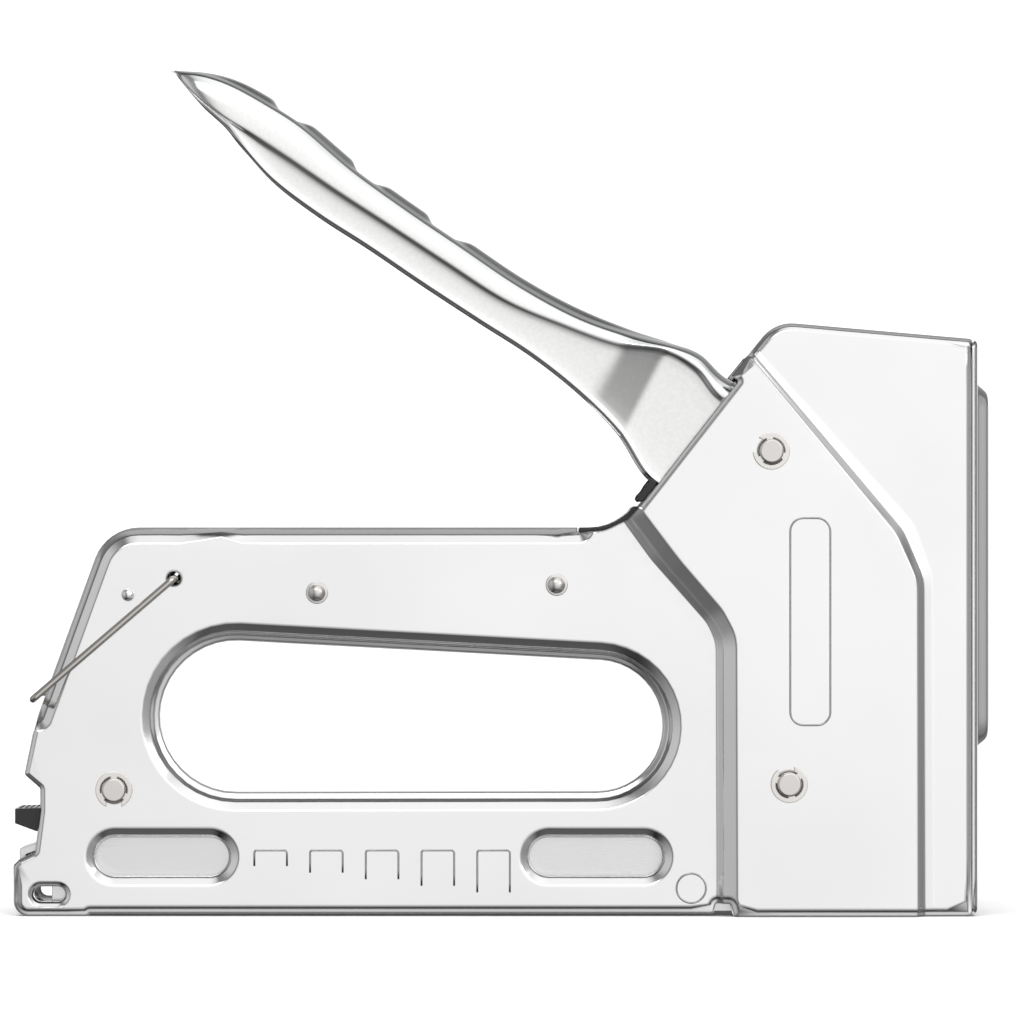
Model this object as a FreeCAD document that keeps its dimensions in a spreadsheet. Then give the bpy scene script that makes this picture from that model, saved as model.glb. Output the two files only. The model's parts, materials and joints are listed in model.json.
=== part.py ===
"""Heavy-duty hand staple gun, as a parametric assembly in millimetres.

Frame: +X points to the nose, +Z up, origin at the bottom centre of the whole tool.
The tool is symmetric about the XZ plane. "Right" is the -Y side.
"""
import FreeCAD, Part
import math
import os

import Sketcher
from FreeCAD import Placement, Rotation, Vector

SIZES = {
    # sheet metal and housing levels, measured outwards from the middle plane
    "sheet": 1.2,
    "grip_half": 12.0,
    "front_half": 13.0,
    "panel_half": 15.0,
    "edge_bend": 3.0,
    "head_bend": 1.8,
    "step_inset": 0.4,
    "beyond": 2.5,
    # housing outline
    "rear_x": -93.0,
    "front_x": 89.6,
    "foot_z": 0.0,
    "grip_foot_z": 0.5,
    "grip_top_z": 74.0,
    "head_top_z": 113.5,
    "grip_corner": 9.0,
    "head_corner": 7.0,
    # hand opening, a capsule with two end radii
    "hand_rear_x": -50.7,
    "hand_rear_z": 38.0,
    "hand_rear_r": 14.4,
    "hand_front_x": 18.05,
    "hand_front_z": 36.2,
    "hand_front_r": 12.5,
    # windows and rear slot
    "window_z": 11.35,
    "window_half": 3.6,
    "window_reach": 9.05,
    "rear_window_x": -64.7,
    "front_window_x": 17.9,
    "rim_bend": 1.3,
    "rim_depth": 5.5,
    "slot_x": -86.2,
    "slot_z": 4.2,
    "slot_half": 1.45,
    "slot_reach": 1.6,
    # cross pins, rivets and the bail's hole
    "pivot_x": 51.1,
    "pivot_z": 88.5,
    "nose_pin_x": 54.5,
    "nose_pin_z": 25.3,
    "rear_pin_x": -73.8,
    "rear_pin_z": 24.1,
    "pin_r": 2.3,
    "pin_groove_r": 1.85,
    "pin_head_r": 3.6,
    "clip_r": 3.5,
    "clip_inner_r": 2.6,
    "clip_thick": 0.7,
    "fit_gap": 0.05,
    "rivet_rear_x": -35.2,
    "rivet_rear_z": 61.6,
    "rivet_front_x": 10.4,
    "rivet_front_z": 63.1,
    "rivet_r": 1.3,
    "rivet_head_r": 1.85,
    "bail_x": -62.4,
    "bail_z": 64.3,
    "bail_length": 35.3,
    "bail_tilt": 40.63,
    "bail_half": 13.1,
    "wire_r": 0.65,
    "detent_x": -71.1,
    "detent_z": 61.2,
    "detent_r": 1.15,
    "detent_high": 0.3,
    # handle
    "handle_half": 9.5,
    "cheek_half": 11.6,
    # nose plate
    "plate_thick": 0.9,
    "plate_half": 12.6,
    "plate_low_z": 0.6,
    "plate_high_z": 109.6,
    "bulge_half": 8.0,
    "bulge_low_z": 31.1,
    "bulge_high_z": 102.4,
    "bulge_x": 93.0,
    # magazine
    "channel_half": 6.5,
    "channel_top_z": 17.6,
    "channel_low_z": 0.7,
    "rail_half": 3.9,
    "rail_top_z": 14.6,
    "rod_z": 8.0,
    "rod_r": 1.5,
    # striker, its lever and its spring
    "spring_x": 85.3,
    "spring_r": 5.0,
    "spring_wire_r": 1.1,
    "spring_low_z": 46.0,
    "spring_high_z": 97.0,
    "striker_half": 8.5,
}

doc = FreeCAD.newDocument("staple_gun")
sheet = doc.addObject("Spreadsheet::Sheet", "Sizes")
for row, (name, number) in enumerate(SIZES.items(), start=1):
    sheet.set(f"A{row}", name)
    sheet.set(f"B{row}", str(number))
    sheet.setAlias(f"B{row}", name)
doc.recompute()


# ---------------------------------------------------------------- expressions

def terms(text):
    """Split 'a + 2 * b - c' into (sign, [factors]) pairs."""
    parts = []
    sign = 1.0
    for word in text.replace("*", " * ").split():
        if word in ("+", "-"):
            sign = 1.0 if word == "+" else -1.0
        elif word == "*":
            parts[-1][2] = True
        elif parts and parts[-1][2]:
            parts[-1][1].append(word)
            parts[-1][2] = False
        else:
            parts.append([sign, [word], False])
            sign = 1.0
    return [(part[0], part[1]) for part in parts]


def size(text):
    """Value of a sum of products of sheet aliases and numbers."""
    total = 0.0
    for sign, factors in terms(str(text)):
        product = sign
        for factor in factors:
            product *= sheet.get(factor) if factor in SIZES else float(factor)
        total += product
    return total


def bound(text):
    """The same text as an expression on the sheet's cells."""
    words = str(text).split()
    return " ".join(f"Sizes.{word}" if word in SIZES else word for word in words)


def plus(text, number, factor):
    """The expression text + number * factor."""
    sign = "+" if number >= 0 else "-"
    return f"{text} {sign} {abs(number):.5f} * {factor}"


# ------------------------------------------------------------------- sketches

def add_body(label):
    body = doc.addObject("PartDesign::Body", label)
    body.Label = label
    return body


def add_sketch(body, role, level="0"):
    """A sketch on one of the body's origin planes, moved along the plane's normal."""
    plane = [item for item in body.Origin.OriginFeatures if item.Role == role][0]
    sketch = body.newObject("Sketcher::SketchObject", f"{body.Label}_sketch")
    sketch.AttachmentSupport = (plane, [""])
    sketch.MapMode = "FlatFace"
    sketch.AttachmentOffset = Placement(Vector(0, 0, size(level)), Rotation())
    sketch.setExpression("AttachmentOffset.Base.z", bound(level))
    return sketch


def pin_point(sketch, geometry, point, x, y):
    """Hold one sketch point at (x, y), both bound to the sheet."""
    for kind, text in (("DistanceX", x), ("DistanceY", y)):
        rule = Sketcher.Constraint(kind, -1, 1, geometry, point, size(text))
        index = sketch.addConstraint(rule)
        sketch.setExpression(f"Constraints[{index}]", bound(text))


def add_polygon(sketch, points):
    corners = [Vector(size(x), size(y), 0) for x, y in points]
    lines = []
    for start, end in zip(corners, corners[1:] + corners[:1]):
        lines.append(sketch.addGeometry(Part.LineSegment(start, end)))
    for line, following in zip(lines, lines[1:] + lines[:1]):
        sketch.addConstraint(Sketcher.Constraint("Coincident", line, 2, following, 1))
    for line, (x, y) in zip(lines, points):
        pin_point(sketch, line, 1, x, y)


def add_rectangle(sketch, x_low, y_low, x_high, y_high):
    corners = [(x_low, y_low), (x_high, y_low), (x_high, y_high), (x_low, y_high)]
    add_polygon(sketch, corners)


def add_circle(sketch, x, y, radius):
    centre = Vector(size(x), size(y), 0)
    circle = sketch.addGeometry(Part.Circle(centre, Vector(0, 0, 1), size(radius)))
    pin_point(sketch, circle, 3, x, y)
    index = sketch.addConstraint(Sketcher.Constraint("Radius", circle, size(radius)))
    sketch.setExpression(f"Constraints[{index}]", bound(radius))


def add_capsule(sketch, first, second):
    """Two arcs (x, y, radius) joined by their outer tangent lines, first on the left."""
    centres = [Vector(size(x), size(y), 0) for x, y, _ in (first, second)]
    radii = [size(radius) for _, _, radius in (first, second)]
    along = centres[1] - centres[0]
    lean = math.acos((radii[0] - radii[1]) / along.Length)
    heading = math.atan2(along.y, along.x)
    up, down = heading + lean, heading - lean
    normal = Vector(0, 0, 1)
    circles = [Part.Circle(centre, normal, radius) for centre, radius in zip(centres, radii)]
    left = sketch.addGeometry(Part.ArcOfCircle(circles[0], up, down + 2 * math.pi))
    right = sketch.addGeometry(Part.ArcOfCircle(circles[1], down, up))

    def at(index, angle):
        reach = Vector(math.cos(angle), math.sin(angle), 0) * radii[index]
        return centres[index] + reach

    low = sketch.addGeometry(Part.LineSegment(at(0, down), at(1, down)))
    high = sketch.addGeometry(Part.LineSegment(at(1, up), at(0, up)))
    for one, end, other, start in ((left, 2, low, 1), (low, 2, right, 1),
                                   (right, 2, high, 1), (high, 2, left, 1)):
        sketch.addConstraint(Sketcher.Constraint("Tangent", one, end, other, start))
    for arc, (x, y, radius) in ((left, first), (right, second)):
        pin_point(sketch, arc, 3, x, y)
        index = sketch.addConstraint(Sketcher.Constraint("Radius", arc, size(radius)))
        sketch.setExpression(f"Constraints[{index}]", bound(radius))


def offset_polygon(points, distances):
    """Move each edge inwards by its distance. Edge i runs from point i to the next.

    Points run clockwise when seen with the sketch's x to the right and y up.
    """
    spots = [Vector(size(x), size(y), 0) for x, y in points]
    count = len(spots)
    normals = []
    for index in range(count):
        edge = spots[(index + 1) % count] - spots[index]
        normals.append(Vector(edge.y, -edge.x, 0).normalize())
    moved = []
    for index, (x, y) in enumerate(points):
        before, after = normals[index - 1], normals[index]
        area = before.x * after.y - before.y * after.x
        first, second = distances[index - 1], distances[index]
        x = plus(plus(x, after.y / area, first), -before.y / area, second)
        y = plus(plus(y, -after.x / area, first), before.x / area, second)
        moved.append((x, y))
    return moved


# ------------------------------------------------------------------- features

def add_pad(body, sketch, length, symmetric=False, reverse=False):
    doc.recompute()
    feature = body.newObject("PartDesign::Pad", f"{body.Label}_pad")
    feature.Profile = sketch
    feature.setExpression("Length", bound(length))
    feature.SideType = "Symmetric" if symmetric else "One side"
    feature.Reversed = reverse
    doc.recompute()
    return feature


def add_pocket(body, sketch, length, symmetric=False, reverse=False):
    before = body.Shape.Volume
    doc.recompute()
    feature = body.newObject("PartDesign::Pocket", f"{body.Label}_pocket")
    feature.Profile = sketch
    feature.setExpression("Length", bound(length))
    feature.SideType = "Symmetric" if symmetric else "One side"
    feature.Reversed = reverse
    doc.recompute()
    if body.Shape.Volume >= before:
        raise RuntimeError(f"{feature.Label} removes nothing")
    return feature


def round_edges(body, radius, chosen):
    """Fillet every edge of the body's tip that the test accepts."""
    names = []
    base = body.Tip
    for index, edge in enumerate(base.Shape.Edges, start=1):
        if chosen(edge):
            names.append(f"Edge{index}")
    if not names:
        raise RuntimeError(f"{body.Label} has no edge to round")
    feature = body.newObject("PartDesign::Fillet", f"{body.Label}_fillet")
    feature.Base = (base, names)
    feature.setExpression("Radius", bound(radius))
    doc.recompute()
    return feature


def near(one, other, slack=0.02):
    return abs(one - other) < slack


def through(x, z):
    """Test for an edge along Y at (x, z)."""
    def chosen(edge):
        return all(near(v.X, size(x)) and near(v.Z, size(z)) for v in edge.Vertexes)
    return chosen


def at_level(y, inside):
    """Test for an edge that lies in the plane at y and whose middle passes inside(x, z)."""
    def chosen(edge):
        box = edge.BoundBox
        middle = box.Center
        flat = near(box.YMin, y) and near(box.YMax, y)
        return flat and inside(middle.x, middle.z)
    return chosen


def add_boolean(kind, label, base, tool):
    feature = doc.addObject(kind, label)
    feature.Label = label
    feature.Base = base
    feature.Tool = tool
    doc.recompute()
    return feature


def gather(label, objects):
    """One node that holds several separate solids."""
    feature = doc.addObject("Part::Compound", label)
    feature.Label = label
    feature.Links = objects
    doc.recompute()
    return feature


def add_mirror(label, source):
    feature = doc.addObject("Part::Mirroring", label)
    feature.Label = label
    feature.Source = source
    feature.Base = Vector(0, 0, 0)
    feature.Normal = Vector(0, 1, 0)
    doc.recompute()
    return feature


# -------------------------------------------------------------- housing shells

CLOSED, OPEN, STEP, FREE = "sheet", "-1 * beyond", "step_inset", "0"

# Outline of the grip, clockwise, with the kind of the edge that follows each corner.
GRIP = [
    ("rear_x", "foot_z", CLOSED),
    ("rear_x", "9.7", CLOSED),
    ("rear_x + 1.1", "10.8", CLOSED),
    ("rear_x + 4.1", "12.2", CLOSED),
    ("rear_x + 5.1", "24.4", CLOSED),
    ("rear_x + 2.1", "27.0", CLOSED),
    ("rear_x + 4.4", "38.2", CLOSED),
    ("rear_x + 17.4", "grip_top_z", CLOSED),
    ("50.0", "grip_top_z", FREE),
    ("50.0", "foot_z", CLOSED),
    ("44.1", "foot_z", CLOSED),
    ("43.4", "2.4", CLOSED),
    ("40.7", "2.4", CLOSED),
    ("40.3", "grip_foot_z", CLOSED),
    ("rear_x + 14.5", "grip_foot_z", CLOSED),
    ("rear_x + 14.0", "foot_z", CLOSED),
]
GRIP_CORNER = 7

# The head, with the open edge where the handle goes in.
HEAD = [
    ("14.4", "60.0", FREE),
    ("14.4", "grip_top_z - 0.9", OPEN),
    ("19.6", "grip_top_z - 0.6", OPEN),
    ("24.0", "grip_top_z + 1.6", OPEN),
    ("27.3", "79.3", OPEN),
    ("44.9", "101.8", CLOSED),
    ("43.6", "102.8", CLOSED),
    ("52.0", "head_top_z", CLOSED),
    ("front_x", "head_top_z - 3.3", CLOSED),
    ("front_x", "foot_z", CLOSED),
    ("48.0", "foot_z", FREE),
    ("48.0", "60.0", FREE),
]
HEAD_CORNER = 7
MOUTH = [
    ("14.4", "grip_top_z - 0.9"),
    ("19.6", "grip_top_z - 0.6"),
    ("24.0", "grip_top_z + 1.6"),
    ("20.0", "grip_top_z + 9"),
    ("14.4", "grip_top_z + 9"),
]

# The zone beside the nose stands a little proud of the grip.
FRONT_ZONE = [
    ("43.6", "102.8", CLOSED),
    ("52.0", "head_top_z", CLOSED),
    ("front_x", "head_top_z - 3.3", CLOSED),
    ("front_x", "foot_z", CLOSED),
    ("62.0", "foot_z", FREE),
    ("62.0", "80.0", FREE),
    ("46.8", "100.5", FREE),
    ("44.9", "101.8", CLOSED),
]

# The raised panel: its outline on the grip's level and on its own level.
PANEL_FOOT = [
    ("23.2", "74.9", OPEN),
    ("27.3", "79.3", OPEN),
    ("49.3", "107.2", STEP),
    ("78.6", "74.8", STEP),
    ("82.0", "65.0", STEP),
    ("82.3", "foot_z", CLOSED),
    ("40.8", "foot_z", STEP),
    ("40.6", "52.1", STEP),
    ("39.0", "55.7", STEP),
    ("28.3", "67.8", STEP),
]
PANEL_TOP = [
    ("26.9", "77.4", OPEN),
    ("27.3", "79.3", OPEN),
    ("47.8", "105.4", STEP),
    ("74.5", "72.6", STEP),
    ("78.6", "63.8", STEP),
    ("78.7", "foot_z", CLOSED),
    ("45.0", "foot_z", STEP),
    ("44.8", "53.5", STEP),
    ("42.0", "58.7", STEP),
    ("34.2", "67.8", STEP),
]


def housing_outline(points, hollow):
    """The outline itself, or the outline of the space inside it."""
    corners = [(x, z) for x, z, _ in points]
    if not hollow:
        return corners
    return offset_polygon(corners, [kind for _, _, kind in points])


def housing_form(label, hollow):
    """Half of the housing as a solid, or the half space inside its sheet metal."""
    less = " - sheet" if hollow else ""
    more = " + sheet" if hollow else ""
    form = add_body(label)

    grip_outline = housing_outline(GRIP, hollow)
    grip = add_sketch(form, "XZ_Plane")
    add_polygon(grip, grip_outline)
    add_pad(form, grip, "grip_half" + less)
    round_edges(form, "grip_corner" + less, through(*grip_outline[GRIP_CORNER]))
    grip_face = -size("grip_half" + less)
    round_edges(form, "edge_bend" + less, at_level(
        grip_face, lambda x, z: z > 60 or (x < -80 and z > 45)))

    hand = add_sketch(form, "XZ_Plane")
    add_capsule(hand, ("hand_rear_x", "hand_rear_z", "hand_rear_r" + more),
                ("hand_front_x", "hand_front_z", "hand_front_r" + more))
    add_pocket(form, hand, "60", symmetric=True)
    round_edges(form, "edge_bend" + less, at_level(
        grip_face, lambda x, z: -70 < x < 35 and 15 < z < 60))

    head_outline = housing_outline(HEAD, hollow)
    head = add_sketch(form, "XZ_Plane")
    add_polygon(head, head_outline)
    add_pad(form, head, "grip_half" + less)
    zone = add_sketch(form, "XZ_Plane")
    add_polygon(zone, housing_outline(FRONT_ZONE, hollow))
    add_pad(form, zone, "front_half" + less)
    round_edges(form, "head_corner" + less, through(*head_outline[HEAD_CORNER]))
    front_face = -size("front_half" + less)
    round_edges(form, "head_bend" + less, at_level(
        front_face, lambda x, z: z > 103))

    foot = add_sketch(form, "XZ_Plane", "grip_half" + less)
    add_polygon(foot, housing_outline(PANEL_FOOT, hollow))
    top = add_sketch(form, "XZ_Plane", "panel_half" + less)
    add_polygon(top, housing_outline(PANEL_TOP, hollow))
    doc.recompute()
    panel = form.newObject("PartDesign::AdditiveLoft", f"{label}_panel")
    panel.Profile = foot
    panel.Sections = [top]
    panel.Ruled = True
    doc.recompute()
    cut_windows(form, hollow, less, more)
    return form


def cut_windows(form, hollow, less, more):
    """Windows whose rims turn inwards: right through, or as deep as the rim's outside."""
    for x, z, half, reach in (
            ("rear_window_x", "window_z", "window_half", "window_reach"),
            ("front_window_x", "window_z", "window_half", "window_reach"),
            ("slot_x", "slot_z", "slot_half", "slot_reach")):
        window = add_sketch(form, "XZ_Plane", "grip_half")
        add_capsule(window, (f"{x} - {reach}", z, half + more), (f"{x} + {reach}", z, half + more))
        if hollow:
            add_pocket(form, window, "rim_depth")
        else:
            add_pocket(form, window, "60", symmetric=True)
            face = at_level(-size("grip_half"), window_edge(size(x), size(reach)))
            round_edges(form, "rim_bend", face)


def window_edge(centre, reach):
    """Test for the rim of a window low on the grip."""
    return lambda x, z: abs(x - centre) < reach + 4 and 2 < z < 17


def add_box(label, corner, lengths):
    box = doc.addObject("Part::Box", label)
    box.Label = label
    for name, text in zip(("Length", "Width", "Height"), lengths):
        box.setExpression(name, bound(text))
    for name, text in zip("xyz", corner):
        box.setExpression(f"Placement.Base.{name}", bound(text))
    doc.recompute()
    return box


def add_bore(label, x, z, radius, length="80"):
    """A cylinder along Y through (x, z), centred on the middle plane."""
    bore = doc.addObject("Part::Cylinder", label)
    bore.Label = label
    bore.setExpression("Radius", bound(radius))
    bore.setExpression("Height", bound(length))
    spot = Vector(size(x), size(length) / 2, size(z))
    bore.Placement = Placement(spot, Rotation(Vector(1, 0, 0), 90))
    bore.setExpression("Placement.Base.x", bound(x))
    bore.setExpression("Placement.Base.z", bound(z))
    doc.recompute()
    return bore


def fuse(label, objects):
    feature = doc.addObject("Part::MultiFuse", label)
    feature.Label = label
    feature.Shapes = objects
    doc.recompute()
    return feature


PINS = {
    "pivot_pin": ("pivot_x", "pivot_z", "panel_half"),
    "nose_pin": ("nose_pin_x", "nose_pin_z", "panel_half"),
    "rear_pin": ("rear_pin_x", "rear_pin_z", "grip_half"),
}
RIVETS = {
    "grip_rivet_rear": ("rivet_rear_x", "rivet_rear_z"),
    "grip_rivet_front": ("rivet_front_x", "rivet_front_z"),
}


def housing_shells():
    """Both halves of the housing: bent sheet, open at nose, foot, rear and handle slot."""
    outside = housing_form("housing_outside", hollow=False)
    inside = housing_form("housing_inside", hollow=True)
    sheet_metal = add_boolean("Part::Cut", "housing_sheet", outside, inside)
    removed = [
        add_box("nose_gap", ("front_x - 2", "sheet - front_half", "-1"),
                ("4", "front_half", "head_top_z - 3.6")),
        add_box("foot_gap", ("rear_x + 3", "-0.4 - channel_half", "-1"),
                ("190", "channel_half + 1", "4.8")),
        add_box("rear_gap", ("rear_x - 1", "-8", "-1"), ("8", "9", "23")),
    ]
    for name, (x, z, _) in PINS.items():
        removed.append(add_bore(f"{name}_hole", x, z, "pin_r + fit_gap"))
    for name, (x, z) in RIVETS.items():
        removed.append(add_bore(f"{name}_hole", x, z, "rivet_r"))
    removed.append(add_bore("bail_hole", "bail_x", "bail_z", "wire_r + fit_gap"))
    mouth = add_body("mouth_gap")
    outline = add_sketch(mouth, "XZ_Plane")
    add_polygon(outline, MOUTH)
    add_pad(mouth, outline, "60", symmetric=True)
    removed.append(mouth)
    gaps = fuse("housing_gaps", removed)
    cut_sheet = add_boolean("Part::Cut", "housing_cut_sheet", sheet_metal, gaps)
    detent = add_bore("detent", "detent_x", "detent_z", "detent_r", "2 * grip_half + 2 * detent_high")
    core = add_box("detent_core", ("detent_x - 3", "-1 * grip_half", "detent_z - 3"),
                   ("6", "60", "6"))
    bump = add_boolean("Part::Cut", "detent_bump", detent, core)
    right = fuse("right_shell", [cut_sheet, bump])
    left = add_mirror("left_shell", right)
    return [right, left]


# ------------------------------------------------------- pins, clips and rivets

def add_turned(label, profile, x, z):
    """A piece turned about an axis along Y; its profile is (radius, y) points."""
    body = add_body(label)
    sketch = add_sketch(body, "XY_Plane")
    add_polygon(sketch, profile)
    doc.recompute()
    turned = body.newObject("PartDesign::Revolution", f"{label}_turn")
    turned.Profile = sketch
    turned.ReferenceAxis = (sketch, ["V_Axis"])
    turned.Angle = 360
    body.Placement = Placement(Vector(size(x), 0, size(z)), Rotation())
    body.setExpression("Placement.Base.x", bound(x))
    body.setExpression("Placement.Base.z", bound(z))
    doc.recompute()
    return body


def cross_pins():
    pins = []
    for label, (x, z, face) in PINS.items():
        profile = [
            ("0", f"-1 * {face} - 2.0"),
            ("pin_r - 0.4", f"-1 * {face} - 2.0"),
            ("pin_r", f"-1 * {face} - 1.7"),
            ("pin_r", f"-1 * {face} - 1.0"),
            ("pin_groove_r", f"-1 * {face} - 1.0"),
            ("pin_groove_r", f"-1 * {face} - 0.1"),
            ("pin_r", f"-1 * {face} - 0.1"),
            ("pin_r", f"{face} + 0.05"),
            ("pin_head_r", f"{face} + 0.05"),
            ("pin_head_r", f"{face} + 1.2"),
            ("pin_head_r - 0.8", f"{face} + 2.0"),
            ("0", f"{face} + 2.0"),
        ]
        pins.append(add_turned(label, profile, x, z))
    return pins


def retaining_clip(label, x, z, face, turn):
    """An E-shaped ring: three lugs reach into the pin's groove, one gap lets it on."""
    body = add_body(label)
    level = f"{face} + 0.2"
    disc = add_sketch(body, "XZ_Plane", level)
    add_circle(disc, "0", "0", "clip_r")
    add_pad(body, disc, "clip_thick")
    hole = add_sketch(body, "XZ_Plane", level)
    add_circle(hole, "0", "0", "clip_inner_r")
    add_pocket(body, hole, "clip_thick", reverse=True)
    gap = add_sketch(body, "XZ_Plane", level)
    add_rectangle(gap, "-1 * clip_r - 1", "-1.45", "0", "1.45")
    add_pocket(body, gap, "clip_thick", reverse=True)
    lug = add_sketch(body, "XZ_Plane", level)
    add_rectangle(lug, "pin_groove_r + fit_gap", "-0.65", "clip_inner_r + 0.3", "0.65")
    lug_pad = add_pad(body, lug, "clip_thick")
    ring = body.newObject("PartDesign::PolarPattern", f"{label}_lugs")
    ring.Originals = [lug_pad]
    ring.Axis = (lug, ["N_Axis"])
    ring.Angle = 360
    ring.Occurrences = 3
    body.Tip = ring
    body.Placement = Placement(Vector(size(x), 0, size(z)), Rotation(Vector(0, 1, 0), turn))
    doc.recompute()
    return body


def clips():
    turns = {"pivot_pin": 22, "nose_pin": 80, "rear_pin": -90}
    rings = [retaining_clip(f"{name}_clip", *PINS[name], turn) for name, turn in turns.items()]
    return [gather("e_clips", rings)]


def grip_rivets():
    profile = [
        ("0", "-1 * grip_half - 0.9"),
        ("0.9", "-1 * grip_half - 0.75"),
        ("rivet_head_r", "-1 * grip_half - 0.05"),
        ("rivet_r - 0.02", "-1 * grip_half - 0.05"),
        ("rivet_r - 0.02", "grip_half + 0.05"),
        ("rivet_head_r", "grip_half + 0.05"),
        ("0.9", "grip_half + 0.75"),
        ("0", "grip_half + 0.9"),
    ]
    pair = [add_turned(label, profile, x, z) for label, (x, z) in RIVETS.items()]
    return [gather("grip_rivets", pair)]


# ------------------------------------------------------------------ nose plate

def front_plate():
    plate = add_body("front_plate")
    face = add_sketch(plate, "YZ_Plane", "front_x")
    add_rectangle(face, "-1 * plate_half", "plate_low_z", "plate_half", "plate_high_z")
    add_pad(plate, face, "plate_thick")
    for level in ("10.85", "-1 * 10.85 - plate_thick"):
        flange = add_sketch(plate, "XZ_Plane", level)
        add_rectangle(flange, "front_x - 8", "plate_low_z + 0.9", "front_x", "plate_high_z - 1.6")
        add_pad(plate, flange, "plate_thick")
    add_bulge(plate, "PartDesign::AdditiveLoft", "0", "front_x + plate_thick", "bulge_x")
    add_bulge(plate, "PartDesign::SubtractiveLoft", "plate_thick", "front_x", "bulge_x - plate_thick")
    return [plate]


def add_bulge(plate, kind, inset, root, crown):
    """The long pressed rib, or the hollow behind it, from level root to level crown."""
    low = add_sketch(plate, "YZ_Plane", root)
    add_rectangle(low, f"{inset} - bulge_half", f"bulge_low_z + {inset}",
                  f"bulge_half - {inset}", f"bulge_high_z - {inset}")
    high = add_sketch(plate, "YZ_Plane", crown)
    add_rectangle(high, f"{inset} - bulge_half + 2.4", f"bulge_low_z + {inset} + 4.6",
                  f"bulge_half - {inset} - 2.4", f"bulge_high_z - {inset} - 4.9")
    doc.recompute()
    rib = plate.newObject(kind, f"{plate.Label}_rib")
    rib.Profile = low
    rib.Sections = [high]
    rib.Ruled = True
    doc.recompute()


# -------------------------------------------------------------------- magazine

def magazine():
    channel = add_body("magazine_channel")
    section = add_sketch(channel, "YZ_Plane", "rear_x + 7")
    add_polygon(section, [
        ("-1 * channel_half", "channel_low_z"), ("-1 * channel_half", "channel_top_z"),
        ("channel_half", "channel_top_z"), ("channel_half", "channel_low_z"),
        ("channel_half - 1", "channel_low_z"), ("channel_half - 1", "channel_top_z - 1"),
        ("1 - channel_half", "channel_top_z - 1"), ("1 - channel_half", "channel_low_z")])
    add_pad(channel, section, "front_x - 1.9 - rear_x - 7")
    rail = add_body("staple_rail")
    section = add_sketch(rail, "YZ_Plane", "rear_x + 7.5")
    add_polygon(section, [
        ("-1 * rail_half", "channel_low_z"), ("-1 * rail_half", "rail_top_z"),
        ("1 - rail_half", "rail_top_z"), ("1 - rail_half", "channel_low_z + 1"),
        ("rail_half - 1", "channel_low_z + 1"), ("rail_half - 1", "rail_top_z"),
        ("rail_half", "rail_top_z"), ("rail_half", "channel_low_z")])
    add_pad(rail, section, "front_x - 2.1 - rear_x - 7.5")
    return [channel, rail]


def feed_rod():
    rod = add_body("guide_rod")
    step = add_sketch(rod, "YZ_Plane", "rear_x + 0.8")
    add_circle(step, "0", "rod_z", "rod_r")
    add_pad(rod, step, "172")
    head = add_sketch(rod, "YZ_Plane", "78.4")
    add_circle(head, "0", "rod_z", "rod_r + 0.9")
    add_pad(rod, head, "1.6")

    plate = add_body("feed_plate")
    outline = add_sketch(plate, "XZ_Plane")
    add_polygon(outline, [
        ("rear_x + 0.8", "1.5"), ("rear_x + 0.8", "12.6"), ("rear_x + 4.8", "13.9"),
        ("rear_x + 4.8", "19.5"), ("rear_x + 6.0", "19.5"), ("rear_x + 6.0", "13.0"),
        ("rear_x + 2.0", "11.5"), ("rear_x + 2.0", "1.5")])
    add_pad(plate, outline, "12.4", symmetric=True)
    hole = add_sketch(plate, "YZ_Plane", "rear_x + 0.8")
    add_circle(hole, "0", "rod_z", "rod_r")
    add_pocket(plate, hole, "1.2", reverse=True)

    knob = add_body("pusher_knob")
    outline = add_sketch(knob, "XZ_Plane")
    add_polygon(outline, [
        ("rear_x", "17.5"), ("rear_x", "20.3"), ("rear_x + 7", "20.5"), ("rear_x + 13", "20.5"),
        ("rear_x + 13", "18.3"), ("rear_x + 6.4", "18.3"), ("rear_x + 6.4", "16.0"),
        ("rear_x + 4", "16.0")])
    add_pad(knob, outline, "14.8", symmetric=True)
    neck = add_sketch(knob, "XZ_Plane")
    add_rectangle(neck, "rear_x + 4.8", "13.0", "rear_x + 6.0", "19.5")
    add_pocket(knob, neck, "12.4", symmetric=True)
    grooves = add_sketch(knob, "XZ_Plane")
    for index in range(4):
        start = f"rear_x + {0.55 + 1.0 * index:.2f}"
        add_rectangle(grooves, start, "19.9", f"{start} + 0.45", "21")
    add_pocket(knob, grooves, "12.6", symmetric=True)
    spring = coil("pusher_spring", "2.1", "0.3", "5", "154.6",
                  Placement(Vector(size("rear_x + 2.4"), 0, size("rod_z")),
                            Rotation(Vector(0, 1, 0), 90)))
    return [rod, plate, knob, spring]


def pusher():
    body = add_body("pusher")
    saddle = add_sketch(body, "YZ_Plane", "66")
    add_polygon(saddle, [
        ("-5.3", "2.5"), ("-5.3", "16.3"), ("5.3", "16.3"), ("5.3", "2.5"),
        ("rail_half + 0.3", "2.5"), ("rail_half + 0.3", "rail_top_z + 0.3"),
        ("2.55", "rail_top_z + 0.3"), ("2.55", "5"), ("-2.55", "5"),
        ("-2.55", "rail_top_z + 0.3"), ("-0.3 - rail_half", "rail_top_z + 0.3"),
        ("-0.3 - rail_half", "2.5")])
    add_pad(body, saddle, "12")
    bore = add_sketch(body, "YZ_Plane", "66")
    add_circle(bore, "0", "rod_z", "rod_r + 0.06")
    add_pocket(body, bore, "12", reverse=True)
    return [body]


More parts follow.
